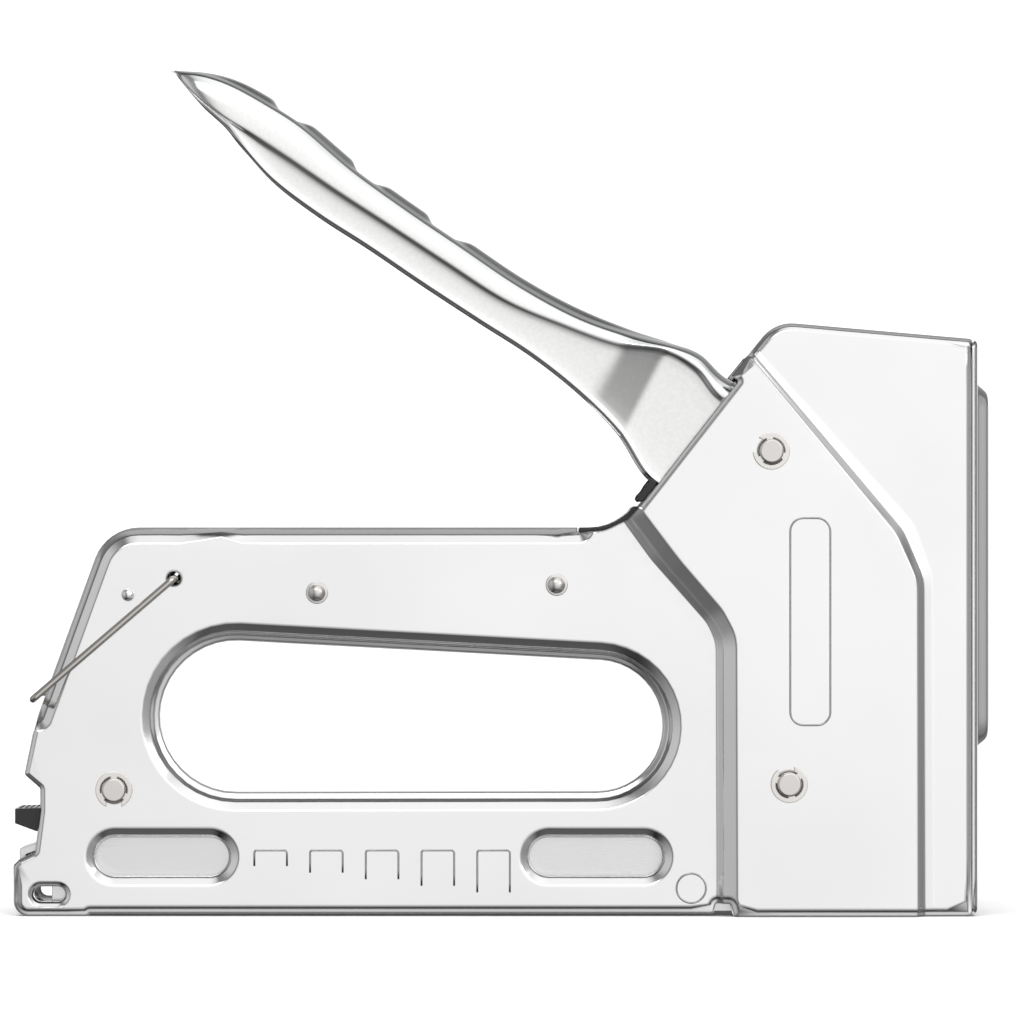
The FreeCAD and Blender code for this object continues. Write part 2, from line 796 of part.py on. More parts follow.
def coil(label, radius, wire, pitch, height, placement):
    """A round-wire coil spring: a circle swept along a helix."""
    helix = doc.addObject("Part::Helix", f"{label}_helix")
    helix.setExpression("Radius", bound(radius))
    helix.setExpression("Pitch", bound(pitch))
    helix.setExpression("Height", bound(height))
    ring = doc.addObject("Part::Circle", f"{label}_section")
    ring.setExpression("Radius", bound(wire))
    ring.Placement = Placement(Vector(size(radius), 0, 0), Rotation(Vector(1, 0, 0), 90))
    sweep = doc.addObject("Part::Sweep", label)
    sweep.Label = label
    sweep.Sections = [ring]
    sweep.Spine = (helix, [])
    sweep.Solid = True
    sweep.Frenet = True
    sweep.Placement = placement
    doc.recompute()
    return sweep


# --------------------------------------------------------------------- striker

def striker():
    block = add_body("striker_block")
    profile = add_sketch(block, "XZ_Plane")
    add_rectangle(profile, "74.9", "36.0", "88.0", "86.0")
    add_pad(block, profile, "2 * striker_half", symmetric=True)
    well = add_sketch(block, "XZ_Plane")
    add_rectangle(well, "76.5", "spring_low_z", "90", "87")
    add_pocket(block, well, "2 * striker_half - 3.2", symmetric=True)
    tongue = add_sketch(block, "XZ_Plane")
    add_rectangle(tongue, "87.9", "spring_low_z - 1", "91.5", "spring_low_z")
    add_pad(block, tongue, "9.8", symmetric=True)
    window = add_sketch(block, "XZ_Plane")
    add_rectangle(window, "74", "77.5", "77", "84.4")
    add_pocket(block, window, "7.2", symmetric=True)
    rivet_holes(block, "83.5", "4.6")

    blade = add_body("driver_blade")
    profile = add_sketch(blade, "XZ_Plane")
    add_rectangle(profile, "88.0", "channel_low_z + 0.3", "89.2", "spring_low_z - 1.3")
    add_pad(blade, profile, "10.4", symmetric=True)
    rivet_holes(blade, "87.9", "1.4")

    rivets = []
    for side in ("3", "-3"):
        rivet = add_body(f"blade_rivet_{len(rivets) + 1}")
        shank = add_sketch(rivet, "YZ_Plane", "83.6")
        add_circle(shank, side, "40.5", "1.2")
        add_pad(rivet, shank, "5.6")
        rivets.append(rivet)
    return [block, blade, gather("blade_rivets", rivets)]


def rivet_holes(body, level, depth):
    holes = add_sketch(body, "YZ_Plane", level)
    for side in ("3", "-3"):
        add_circle(holes, side, "40.5", "1.2")
    add_pocket(body, holes, depth, reverse=True)


def drive_spring():
    spring = coil("power_spring", "spring_r", "spring_wire_r", "5.2",
                  "spring_high_z - spring_low_z - 2.5",
                  Placement(Vector(size("spring_x"), 0, size("spring_low_z") + 1.25), Rotation()))
    seat = add_body("spring_cap")
    profile = add_sketch(seat, "XZ_Plane")
    add_rectangle(profile, "77.5", "spring_high_z", "front_x - 0.3", "spring_high_z + 2.2")
    add_pad(seat, profile, "13", symmetric=True)
    post = add_sketch(seat, "XZ_Plane")
    add_rectangle(post, "78", "spring_high_z + 2", "86", "109.2")
    add_pad(seat, post, "12", symmetric=True)
    boss = add_sketch(seat, "XY_Plane", "spring_high_z")
    add_circle(boss, "spring_x", "0", "3.5")
    add_pad(seat, boss, "4", reverse=True)

    bumper = add_body("striker_bumper")
    profile = add_sketch(bumper, "XZ_Plane")
    add_rectangle(profile, "76", "30.2", "87.4", "35.8")
    add_pad(bumper, profile, "15", symmetric=True)
    bracket = add_body("bumper_bracket")
    profile = add_sketch(bracket, "YZ_Plane", "72")
    add_polygon(profile, [
        ("-10.6", "28"), ("-10.6", "36"), ("-9.4", "36"), ("-9.4", "30.2"), ("9.4", "30.2"),
        ("9.4", "36"), ("10.6", "36"), ("10.6", "28")])
    add_pad(bracket, profile, "15.6")
    return [spring, seat, bumper, bracket]


# ---------------------------------------------------------------------- handle

HANDLE = [
    ("-62.3", "160.8", CLOSED), ("-52.0", "157.7", CLOSED), ("-38.6", "150.4", CLOSED),
    ("-26.0", "141.1", CLOSED), ("-12.0", "130.6", CLOSED), ("5.9", "119.3", CLOSED),
    ("25.3", "110.9", CLOSED), ("36.0", "107.8", FREE), ("36.0", "98.0", FREE),
    ("22.9", "92.1", OPEN), ("15.6", "99.4", OPEN), ("5.9", "107.2", OPEN),
    ("-9.9", "117.4", OPEN), ("-30.6", "131.3", OPEN), ("-43.3", "140.2", OPEN),
    ("-50.5", "148.4", OPEN), ("-56.6", "155.0", OPEN), ("-61.4", "158.9", CLOSED),
]
CHEEKS = [
    ("31.0", "108.9", CLOSED), ("37.4", "107.5", CLOSED), ("42.1", "103.5", CLOSED),
    ("45.4", "100.2", CLOSED), ("54.0", "98.4", OPEN), ("61.5", "92.0", OPEN),
    ("61.5", "84.0", OPEN), ("56.0", "78.0", OPEN), ("44.0", "77.5", OPEN),
    ("29.3", "82.7", OPEN), ("22.9", "92.1", CLOSED),
]


def squeeze_handle():
    handle = add_body("squeeze_handle")
    arm = add_sketch(handle, "XZ_Plane")
    add_polygon(arm, housing_outline(HANDLE, hollow=False))
    add_pad(handle, arm, "2 * handle_half", symmetric=True)
    cheeks = add_sketch(handle, "XZ_Plane")
    add_polygon(cheeks, housing_outline(CHEEKS, hollow=False))
    add_pad(handle, cheeks, "2 * cheek_half", symmetric=True)
    arm_space = add_sketch(handle, "XZ_Plane")
    add_polygon(arm_space, housing_outline(HANDLE, hollow=True))
    add_pocket(handle, arm_space, "2 * handle_half - 2 * sheet", symmetric=True)
    cheek_space = add_sketch(handle, "XZ_Plane")
    add_polygon(cheek_space, housing_outline(CHEEKS, hollow=True))
    add_pocket(handle, cheek_space, "2 * cheek_half - 2 * sheet", symmetric=True)
    holes = add_sketch(handle, "XZ_Plane")
    add_circle(holes, "pivot_x", "pivot_z", "pin_r + 0.06")
    add_circle(holes, "pivot_x - 8.6", "pivot_z - 3.6", "1.75")
    add_pocket(handle, holes, "60", symmetric=True)

    claw = add_body("lifter_claw")
    arm = add_sketch(claw, "XZ_Plane")
    add_polygon(arm, [
        ("38.8", "86.5"), ("43.5", "91.5"), ("56.0", "92.6"), ("68.0", "87.3"), ("76.6", "82.8"),
        ("77.7", "81.2"), ("76.2", "79.3"), ("66.0", "79.8"), ("56.0", "81.6"), ("41.5", "81.3")])
    add_pad(claw, arm, "6", symmetric=True)
    hub = add_sketch(claw, "XZ_Plane")
    add_circle(hub, "pivot_x", "pivot_z", "4.6")
    add_pad(claw, hub, "2 * cheek_half - 2 * sheet - 0.2", symmetric=True)
    holes = add_sketch(claw, "XZ_Plane")
    add_circle(holes, "pivot_x", "pivot_z", "pin_r + 0.06")
    add_circle(holes, "pivot_x - 8.6", "pivot_z - 3.6", "1.75")
    add_pocket(claw, holes, "60", symmetric=True)

    rivet = add_turned("claw_rivet", [
        ("0", "-1 * cheek_half - 0.9"), ("2.6", "-1 * cheek_half - 0.9"),
        ("2.6", "-1 * cheek_half - 0.05"), ("1.73", "-1 * cheek_half - 0.05"),
        ("1.73", "cheek_half + 0.05"), ("2.6", "cheek_half + 0.05"),
        ("2.6", "cheek_half + 0.9"), ("0", "cheek_half + 0.9")],
        "pivot_x - 8.6", "pivot_z - 3.6")
    return [handle, claw, rivet]


# ---------------------------------------------------------- wire and soft pieces

def bent_wire(label, points, radius, bend, placement):
    """A round wire through points, with tangent arcs at its corners."""
    edges = []
    start = points[0]
    for before, corner, after in zip(points, points[1:], points[2:]):
        arriving = (corner - before).normalize()
        leaving = (after - corner).normalize()
        turn = arriving.getAngle(leaving)
        reach = bend * math.tan(turn / 2)
        first, last = corner - arriving * reach, corner + leaving * reach
        inward = (leaving - arriving).normalize()
        middle = corner + inward * (bend / math.cos(turn / 2) - bend)
        edges.append(Part.LineSegment(start, first).toShape())
        edges.append(Part.Arc(first, middle, last).toShape())
        start = last
    edges.append(Part.LineSegment(start, points[-1]).toShape())
    path = Part.Wire(edges)
    section = Part.Wire(Part.makeCircle(radius, points[0], points[1] - points[0]))
    feature = doc.addObject("Part::Feature", label)
    feature.Label = label
    feature.Shape = path.makePipeShell([section], True, False)
    feature.Placement = placement
    return feature


def lock_bail():
    """A wire loop hinged in the shells, stowed round the grip's rear edge."""
    half, length = size("bail_half"), size("bail_length")
    inner = size("grip_half - sheet - 0.4")
    points = [Vector(0, -inner, 0), Vector(0, -half, 0), Vector(-length, -half, 0),
              Vector(-length, half, 0), Vector(0, half, 0), Vector(0, inner, 0)]
    place = Placement(Vector(size("bail_x"), 0, size("bail_z")),
                      Rotation(Vector(0, -1, 0), size("bail_tilt")))
    return [bent_wire("lock_bail", points, size("wire_r"), 0.9, place)]


def return_spring():
    """Torsion spring on the handle's hub: a short coil with a leg at each end."""
    coil_r, wire = 5.6, 0.55
    rise, turns = 1.5, 3
    helix = Part.makeHelix(rise, rise * turns, coil_r)
    section = Part.Wire(Part.makeCircle(wire, Vector(coil_r, 0, 0), Vector(0, 1, 0)))
    body = Part.Wire(helix.Edges).makePipeShell([section], True, True)
    lower = Part.makeCylinder(wire, 9, Vector(coil_r, 0, 0), Vector(0, -1, 0))
    upper = Part.makeCylinder(wire, 9, Vector(coil_r, 0, rise * turns), Vector(0, 1, 0))
    feature = doc.addObject("Part::Feature", "return_spring")
    feature.Label = "return_spring"
    feature.Shape = body.fuse([lower, upper]).removeSplitter()
    turn = Rotation(Vector(1, 0, 0), -90)
    feature.Placement = Placement(Vector(size("pivot_x"), 4, size("pivot_z")), turn)
    return [feature]


def slot_trim():
    liner = add_body("slot_liner")
    outline = add_sketch(liner, "XZ_Plane")
    add_polygon(outline, [
        ("14.8", "grip_top_z - 1.0"), ("14.8", "grip_top_z + 0.1"), ("18.0", "grip_top_z + 0.4"),
        ("21.2", "grip_top_z + 1.2"), ("23.6", "grip_top_z + 2.0"), ("24.3", "grip_top_z + 1.4"),
        ("23.4", "grip_top_z + 0.7"), ("19.6", "grip_top_z - 0.7")])
    add_pad(liner, outline, "21.2", symmetric=True)
    strips = []
    for label, level in (("edge_trim_right", "12.0"), ("edge_trim_left", "-12.9")):
        strip = add_body(label)
        outline = add_sketch(strip, "XZ_Plane", level)
        add_polygon(outline, [("25.7", "78.7"), ("28.4", "82.7"), ("29.6", "81.8"), ("27.0", "77.9")])
        add_pad(strip, outline, "0.9")
        strips.append(strip)
    return [liner, gather("edge_trims", strips)]


# ---------------------------------------------------------------- build and save

parts = []
for build in (housing_shells, cross_pins, clips, grip_rivets, front_plate, magazine, feed_rod,
              pusher, striker, drive_spring, squeeze_handle, lock_bail, return_spring, slot_trim):
    parts += build()
doc.recompute()

for item in doc.Objects:
    if "Invalid" in item.State or "Error" in item.State:
        raise RuntimeError(f"{item.Label} did not build: {item.State}")
os.makedirs("parts", exist_ok=True)
for part in parts:
    shape = part.Shape
    if shape.isNull() or not shape.isValid():
        raise RuntimeError(f"{part.Label} has no valid shape")
for part in parts:
    part.Shape.exportStep(f"parts/{part.Label}.step")
    print(part.Label, len(part.Shape.Solids), round(part.Shape.Volume, 1))
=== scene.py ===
"""Looks of a heavy-duty hand staple gun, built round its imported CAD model.

Lengths in this file are millimetres; the mesh helpers turn them into metres. The frame is
the CAD model's: +X points to the nose, +Z is up, and the -Y side faces the camera.
"""

import json
import math

import bmesh
import bpy
import numpy as np
from mathutils import Matrix, Vector
from mathutils.geometry import delaunay_2d_cdt


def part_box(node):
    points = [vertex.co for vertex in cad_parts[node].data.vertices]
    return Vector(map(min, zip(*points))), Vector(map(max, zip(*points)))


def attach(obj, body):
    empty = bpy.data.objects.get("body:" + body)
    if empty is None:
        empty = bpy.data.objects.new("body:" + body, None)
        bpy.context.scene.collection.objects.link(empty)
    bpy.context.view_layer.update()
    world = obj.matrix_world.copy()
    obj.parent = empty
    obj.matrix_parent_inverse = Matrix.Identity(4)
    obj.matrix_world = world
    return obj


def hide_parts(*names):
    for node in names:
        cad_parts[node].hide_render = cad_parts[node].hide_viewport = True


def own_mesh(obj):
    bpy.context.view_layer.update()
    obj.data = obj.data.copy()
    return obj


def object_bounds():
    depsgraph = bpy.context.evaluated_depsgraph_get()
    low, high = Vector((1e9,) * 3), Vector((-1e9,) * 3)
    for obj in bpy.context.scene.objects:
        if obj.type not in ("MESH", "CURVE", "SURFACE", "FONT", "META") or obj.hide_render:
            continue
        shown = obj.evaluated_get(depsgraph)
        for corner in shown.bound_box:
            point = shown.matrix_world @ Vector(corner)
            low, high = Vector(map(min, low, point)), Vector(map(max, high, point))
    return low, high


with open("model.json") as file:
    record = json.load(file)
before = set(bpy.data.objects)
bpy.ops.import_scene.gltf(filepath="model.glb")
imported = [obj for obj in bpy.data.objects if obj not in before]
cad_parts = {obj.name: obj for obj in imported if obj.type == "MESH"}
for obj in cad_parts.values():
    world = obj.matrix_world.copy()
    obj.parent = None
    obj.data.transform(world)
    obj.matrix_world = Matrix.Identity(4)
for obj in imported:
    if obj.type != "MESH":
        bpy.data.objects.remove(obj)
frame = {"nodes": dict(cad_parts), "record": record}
cad_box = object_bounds()

MM = 0.001
ALONG, UPRIGHT, EVEN = (0.05, 1.0, 1.0), (1.0, 1.0, 0.05), (1.0, 1.0, 1.0)


def box(node):
    """Lowest and highest corner of a CAD node, in millimetres."""
    low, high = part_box(node)
    return low / MM, high / MM


# ------------ materials

def add_node(tree, kind, inputs=None, **settings):
    """A shader node. Inputs are constants or sockets of other nodes."""
    node = tree.nodes.new(kind)
    for name, value in settings.items():
        setattr(node, name, value)
    for name, value in (inputs or {}).items():
        if isinstance(value, bpy.types.NodeSocket):
            tree.links.new(value, node.inputs[name])
        else:
            node.inputs[name].default_value = value
    return node


def new_material(name):
    """A node material with its tree and its surface shader."""
    material = bpy.data.materials.new(name)
    material.use_nodes = True
    return material, material.node_tree, material.node_tree.nodes["Principled BSDF"]


def noise(tree, stretch, scale, detail=3.0):
    """Noise in the object's own space: scale is features per metre, stretch a factor per axis."""
    place = add_node(tree, "ShaderNodeTexCoord")
    mapping = add_node(tree, "ShaderNodeMapping",
                       {"Vector": place.outputs["Object"], "Scale": stretch})
    texture = add_node(tree, "ShaderNodeTexNoise",
                       {"Vector": mapping.outputs["Vector"], "Scale": scale, "Detail": detail})
    return texture.outputs["Fac"]


def remap(tree, value, low, high, start=0.3, end=0.7):
    """Stretches start..end of a value to low..high. The defaults suit a noise's range."""
    node = add_node(tree, "ShaderNodeMapRange", {
        "Value": value, "From Min": start, "From Max": end, "To Min": low, "To Max": high})
    return node.outputs["Result"]


MIX_SHARE, MIX_FIRST, MIX_SECOND, MIX_COLOUR = 0, 6, 7, 2


def mix_colour(tree, share, first, second):
    node = add_node(tree, "ShaderNodeMix",
                    {MIX_SHARE: share, MIX_FIRST: first, MIX_SECOND: second}, data_type="RGBA")
    return node.outputs[MIX_COLOUR]


def add_values(tree, first, second):
    node = add_node(tree, "ShaderNodeMath", {0: first, 1: second}, operation="ADD")
    return node.outputs["Value"]


def soft_normal(tree, radius, samples):
    """The surface normal averaged over a radius in millimetres, which rounds off edges."""
    node = add_node(tree, "ShaderNodeBevel", {"Radius": radius * MM}, samples=samples)
    return node.outputs["Normal"]


def turn_share(tree, soft, full, none):
    """1 where the normal and its average differ most, 0 on open faces."""
    place = add_node(tree, "ShaderNodeNewGeometry")
    dot = add_node(tree, "ShaderNodeVectorMath", {
        0: place.outputs["Normal"], 1: soft}, operation="DOT_PRODUCT")
    return remap(tree, dot.outputs["Value"], 1.0, 0.0, start=full, end=none)


def grey(level, warmth=0.0):
    """A near-neutral colour: warmth above 0 leans to yellow, below 0 to blue."""
    return (level * (1 + warmth), level, level * (1 - warmth), 1.0)


# Dot product of a normal and its average, where it turns most and where it is flat;
# the crease pair sets where painted shade darkens tight bends.
EDGE_TURN, CREASE_SHADE_TURN = (0.86, 0.995), (0.92, 0.998)
# Reach in millimetres of the painted shade that darkens tight bends.
CREASE_SHADE_RADIUS = 0.6
PATCHES_PER_METRE, FLECKS_PER_METRE, LINES_PER_METRE = 24.0, 1500.0, 2600.0
METAL_EDGE, METAL_SPREAD, METAL_STAIN, METAL_WORN = 0.12, 0.04, 0.965, 0.8
YELLOWED = (1.0, 0.9, 0.6, 1.0)


def metal(name, level, roughness, warmth=0.0, grain=EVEN, depth=0.006, painted_bend_shade=0.0,
          brushed=None):
    """Plated or bare metal: drawn grain, faint handling marks and slightly worn edges.

    The bend shade sets how dark painted shade makes tight bends; brushed is a level for flats
    that face sideways.
    """
    material, tree, surface = new_material(name)
    lines = noise(tree, grain, LINES_PER_METRE, 2.0)
    patches = noise(tree, EVEN, PATCHES_PER_METRE)
    flecks = noise(tree, EVEN, FLECKS_PER_METRE)
    soft = soft_normal(tree, METAL_EDGE, 4)
    colour = mix_colour(tree, remap(tree, patches, 0.0, 1.0), grey(level, warmth),
                        grey(level * METAL_STAIN, warmth))
    smudges = remap(tree, patches, roughness - METAL_SPREAD, roughness + METAL_SPREAD)
    if brushed:
        flat = facing_sideways(tree)
        colour = mix_colour(tree, flat, colour, brushed_colour(tree, flecks, brushed))
        smudges = add_values(tree, smudges, remap(tree, flat, 0.0, 0.03, start=0.0, end=1.0))
    # Painted shade: the colour darkens in tight bends, standing in for dark reflections there.
    if painted_bend_shade:
        crease = turn_share(tree, soft_normal(tree, CREASE_SHADE_RADIUS, 6), *CREASE_SHADE_TURN)
        colour = mix_colour(tree, crease, colour, grey(level * (1 - painted_bend_shade)))
    colour = mix_colour(tree, turn_share(tree, soft, *EDGE_TURN), colour,
                        grey(level * METAL_WORN, warmth + 0.02))
    streaks = remap(tree, lines, -0.35 * METAL_SPREAD, 0.35 * METAL_SPREAD)
    relief = add_values(tree, lines, remap(tree, flecks, 0.0, 0.25))
    bump = add_node(tree, "ShaderNodeBump", {
        "Height": relief, "Strength": 0.3, "Distance": depth * MM, "Normal": soft})
    surface.inputs["Metallic"].default_value = 1.0
    tree.links.new(colour, surface.inputs["Base Color"])
    tree.links.new(add_values(tree, smudges, streaks), surface.inputs["Roughness"])
    tree.links.new(bump.outputs["Normal"], surface.inputs["Normal"])
    return material


def facing_sideways(tree):
    """1 on flats that face along Y, falling to 0 as they turn away."""
    place = add_node(tree, "ShaderNodeNewGeometry")
    split = add_node(tree, "ShaderNodeSeparateXYZ", {"Vector": place.outputs["Normal"]})
    facing = add_node(tree, "ShaderNodeMath", {0: split.outputs["Y"]}, operation="ABSOLUTE")
    return remap(tree, facing.outputs["Value"], 0.0, 1.0, start=0.93, end=0.99)


def brushed_colour(tree, flecks, level):
    """Speckled grey, slightly yellowed."""
    speckle = remap(tree, flecks, level * 0.97, level * 1.03)
    dull = add_node(tree, "ShaderNodeCombineColor", {
        "Red": speckle, "Green": speckle, "Blue": speckle})
    return mix_colour(tree, 0.04, dull.outputs["Color"], YELLOWED)


PORES_PER_METRE, DUST_PER_METRE = 3200.0, 120.0
MOULDED_EDGE, MOULDED_DEPTH = 0.2, 0.02


def moulded(name, level, roughness):
    """Black moulded plastic or rubber: fine grain, dusty patches, rubbed edges."""
    material, tree, surface = new_material(name)
    pores = noise(tree, EVEN, PORES_PER_METRE)
    dust = noise(tree, EVEN, DUST_PER_METRE, 6.0)
    soft = soft_normal(tree, MOULDED_EDGE, 4)
    base = mix_colour(tree, remap(tree, dust, 0.0, 1.0), grey(level), grey(level * 1.9, 0.03))
    colour = mix_colour(tree, turn_share(tree, soft, *EDGE_TURN), base, grey(level * 3.5))
    bump = add_node(tree, "ShaderNodeBump", {
        "Height": pores, "Strength": 0.4, "Distance": MOULDED_DEPTH * MM, "Normal": soft})
    tree.links.new(colour, surface.inputs["Base Color"])
    tree.links.new(remap(tree, dust, roughness - 0.06, roughness + 0.1),
                   surface.inputs["Roughness"])
    tree.links.new(bump.outputs["Normal"], surface.inputs["Normal"])
    return material


FINISHES = {
    # The housing, nose and handle chrome darken their tight bends with painted shade.
    "housing_chrome": metal("housing_finish_and_bend_shade", 0.87, 0.13, grain=ALONG, painted_bend_shade=0.8),
    "nose_chrome": metal("nose_finish_and_bend_shade", 0.88, 0.12, grain=UPRIGHT, painted_bend_shade=0.8),
    "handle_chrome": metal("handle_finish_and_bend_shade", 0.90, 0.13, warmth=-0.008, painted_bend_shade=0.25, brushed=0.80),
    "pin_steel": metal("pin_finish", 0.72, 0.30, warmth=0.03),
    "clip_steel": metal("clip_finish", 0.80, 0.28, warmth=0.035),
    "channel_steel": metal("channel_finish", 0.78, 0.27, grain=ALONG),
    "wire_steel": metal("wire_finish", 0.60, 0.1, warmth=0.05, depth=0.004),
    "dark_steel": metal("dark_steel_finish", 0.30, 0.36, warmth=-0.02, grain=UPRIGHT),
    "spring_steel": metal("spring_finish", 0.42, 0.30),
    "black_plastic": moulded("plastic_finish", 0.006, 0.22),
    "black_rubber": moulded("rubber_finish", 0.02, 0.62),
}


# ------------ mesh helpers

def link(name, mesh, body, slot, replaced=()):
    """A new piece of the object, finished and riding on its body."""
    piece = bpy.data.objects.new(name, mesh)
    bpy.context.scene.collection.objects.link(piece)
    mesh.materials.clear()
    mesh.materials.append(FINISHES[slot])
    mesh.shade_smooth()
    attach(piece, body)
    if replaced:
        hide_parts(*replaced)
    return piece


def mesh_of(shape, name):
    """Turns a finished bmesh into a mesh."""
    mesh = bpy.data.meshes.new(name)
    shape.to_mesh(mesh)
    shape.free()
    return mesh


def even_normals(piece, keep_sharp=False):
    """Flat faces shade flat and the narrow bends between them shade smooth."""
    weighted = piece.modifiers.new("even_normals", "WEIGHTED_NORMAL")
    weighted.keep_sharp = keep_sharp
    weighted.weight = 100


def break_edges(piece, width, angle):
    """Small bevels on the edges that turn by more than an angle in degrees."""
    bevel = piece.modifiers.new("broken_edges", "BEVEL")
    bevel.limit_method = "ANGLE"
    bevel.angle_limit = math.radians(angle)
    bevel.width = width * MM
    bevel.segments = 2
    bevel.use_clamp_overlap = False
    even_normals(piece)


# ------------ flat outlines

RUN_SPACING = 4.0


def rounded(corners, closed=False, spacing=RUN_SPACING, turn_step=9.0):
    """Points along a polyline of (x, z, corner radius), evenly spaced on its long runs."""
    spots = [Vector(corner[:2]) for corner in corners]
    radii = [corner[2] if len(corner) > 2 else 0.0 for corner in corners]
    count = len(spots)
    runs = []
    for index, (spot, radius) in enumerate(zip(spots, radii)):
        at_end = not closed and index in (0, count - 1)
        if at_end or radius == 0.0:
            runs.append([spot])
            continue
        before, after = spots[index - 1] - spot, spots[(index + 1) % count] - spot
        turn = math.pi - before.angle(after)
        reach = min(radius * math.tan(turn / 2), 0.48 * before.length, 0.48 * after.length)
        bend = reach / math.tan(turn / 2)
        middle = spot + (before.normalized() + after.normalized()).normalized() * (
            bend / math.cos(turn / 2))
        start, end = spot + before.normalized() * reach, spot + after.normalized() * reach
        pieces = max(2, math.ceil(math.degrees(turn) / turn_step))
        sweep = (start - middle).angle_signed(end - middle)
        arc = []
        for step in range(pieces + 1):
            arm = (start - middle).copy()
            arm.rotate(Matrix.Rotation(-sweep * step / pieces, 2))
            arc.append(middle + arm)
        runs.append(arc)
    points = []
    for run in runs:
        if points:
            points += between(points[-1], run[0], spacing)
        points += run
    if closed:
        points += between(points[-1], points[0], spacing)
    return np.array([tuple(point) for point in points])


def between(start, end, spacing):
    """Evenly spaced points strictly between two points."""
    pieces = max(1, round((end - start).length / spacing))
    return [start.lerp(end, step / pieces) for step in range(1, pieces)]


def capsule(first, second, grow=0.0, steps=20):
    """Closed loop round two circles (x, z, radius), first on the left, grown outwards."""
    centres = [Vector(first[:2]), Vector(second[:2])]
    radii = [first[2] + grow, second[2] + grow]
    along = centres[1] - centres[0]
    lean = math.acos((radii[0] - radii[1]) / along.length)
    heading = math.atan2(along.y, along.x)
    points = []
    for centre, radius, start, sweep in (
            (centres[0], radii[0], heading + lean, 2 * math.pi - 2 * lean),
            (centres[1], radii[1], heading - lean, 2 * lean)):
        for step in range(steps + 1):
            angle = start + sweep * step / steps
            points.append(centre + Vector((math.cos(angle), math.sin(angle))) * radius)
        target = points[0] if len(points) > steps + 1 else centres[1] + Vector(
            (math.cos(heading - lean), math.sin(heading - lean))) * radii[1]
        points += between(points[-1], target, RUN_SPACING)
    return np.array([tuple(point) for point in points])


def ring(x, z, radius, steps=24):
    """Points round a circle."""
    angles = np.linspace(0, 2 * math.pi, steps, endpoint=False)
    return np.stack([x + radius * np.cos(angles), z + radius * np.sin(angles)], axis=1)


def distance(spots, line, closed=False):
    """Distance of each spot from a polyline."""
    starts = line if closed else line[:-1]
    along = (np.roll(line, -1, axis=0) if closed else line[1:]) - starts
    gap = spots[:, None, :] - starts[None]
    length_squared = np.maximum((along ** 2).sum(1), 1e-12)
    share = np.clip((gap * along).sum(2) / length_squared, 0, 1)
    return np.sqrt(((gap - share[..., None] * along) ** 2).sum(2)).min(1)


def inside(spots, loop):
    """Which spots a closed loop goes round."""
    x, z = spots[:, :1], spots[:, 1:]
    x0, z0 = loop.T
    x1, z1 = np.roll(loop, -1, axis=0).T
    run = np.where(z1 == z0, 1.0, z1 - z0)
    crossed = ((z0 > z) != (z1 > z)) & (x < x0 + (z - z0) * (x1 - x0) / run)
    return crossed.sum(1) % 2 == 1


def parallel(line, reach, within=None):
    """A clockwise polyline moved inwards, without the points that fold over or leave within."""
    along = np.diff(line, axis=0)
    along /= np.linalg.norm(along, axis=1, keepdims=True)
    before = np.vstack([along[:1], along])
    after = np.vstack([along, along[-1:]])
    normal = np.stack([before[:, 1] + after[:, 1], -before[:, 0] - after[:, 0]], axis=1)
    normal /= np.linalg.norm(normal, axis=1, keepdims=True)
    lean = (normal * np.stack([after[:, 1], -after[:, 0]], axis=1)).sum(1, keepdims=True)
    reach = np.broadcast_to(np.asarray(reach, float), (len(line),))
    moved = line + normal * reach[:, None] / lean
    clear = distance(moved, line) > 0.97 * reach
    if within is not None:
        clear &= inside(moved, within) & (distance(moved, within, True) > 0.9 * reach)
    return moved[clear]


def eased(corners, ease=0.35, steps=4):
    """A bend's section, (distance, drop) from its edge inwards, with small round corners."""
    corners = [np.array(corner, float) for corner in corners]
    corners.append(corners[-1] + (1.0, 0.0))
    points = [corners[0]]
    for before, corner, after in zip(corners, corners[1:], corners[2:]):
        back, ahead = before - corner, after - corner
        back *= min(ease / np.linalg.norm(back), 0.45)
        ahead *= min(ease / np.linalg.norm(ahead), 0.45)
        for step in range(steps + 1):
            share = step / steps
            points.append(corner + back * (1 - share) ** 2 + ahead * share ** 2)
    return np.array(points)


# ------------ pressed sheet

GRID, GRID_CLEAR = 3.4, 1.3


def tessellate(outline, holes, guides):
    """Triangles that fill an outline, with edges along every guide line."""
    spots, edges = [], []
    lines = [(outline, True)] + [(hole, True) for hole in holes] + guides
    for line, closed in lines:
        first = len(spots)
        spots += [tuple(point) for point in line]
        last = len(spots) - 1
        edges += [(index, index + 1) for index in range(first, last)]
        if closed:
            edges.append((last, first))
    low, high = outline.min(0), outline.max(0)
    cells = np.stack(np.meshgrid(np.arange(low[0] + GRID / 2, high[0], GRID),
                                 np.arange(low[1] + GRID / 2, high[1], GRID)), axis=-1)
    cells[1::2, :, 0] += GRID / 2
    cells = cells.reshape(-1, 2)
    for line, closed in lines:
        cells = cells[distance(cells, line, closed) > GRID_CLEAR]
    spots += [tuple(point) for point in cells]
    points, _, faces, _, _, _ = delaunay_2d_cdt(
        [Vector(spot) for spot in spots], edges, [], 0, 1e-4)
    flat = np.array([tuple(point) for point in points])
    middles = np.array([flat[list(face)].mean(0) for face in faces])
    kept = inside(middles, outline)
    for hole in holes:
        kept &= ~inside(middles, hole)
    return flat, [face for face, keep in zip(faces, kept) if keep]


SHORT_EDGE = 0.14       # shorter edges of the rim are closed up
CUT_EDGE = 62           # degrees: a sharper turn is a cut edge, not a bend


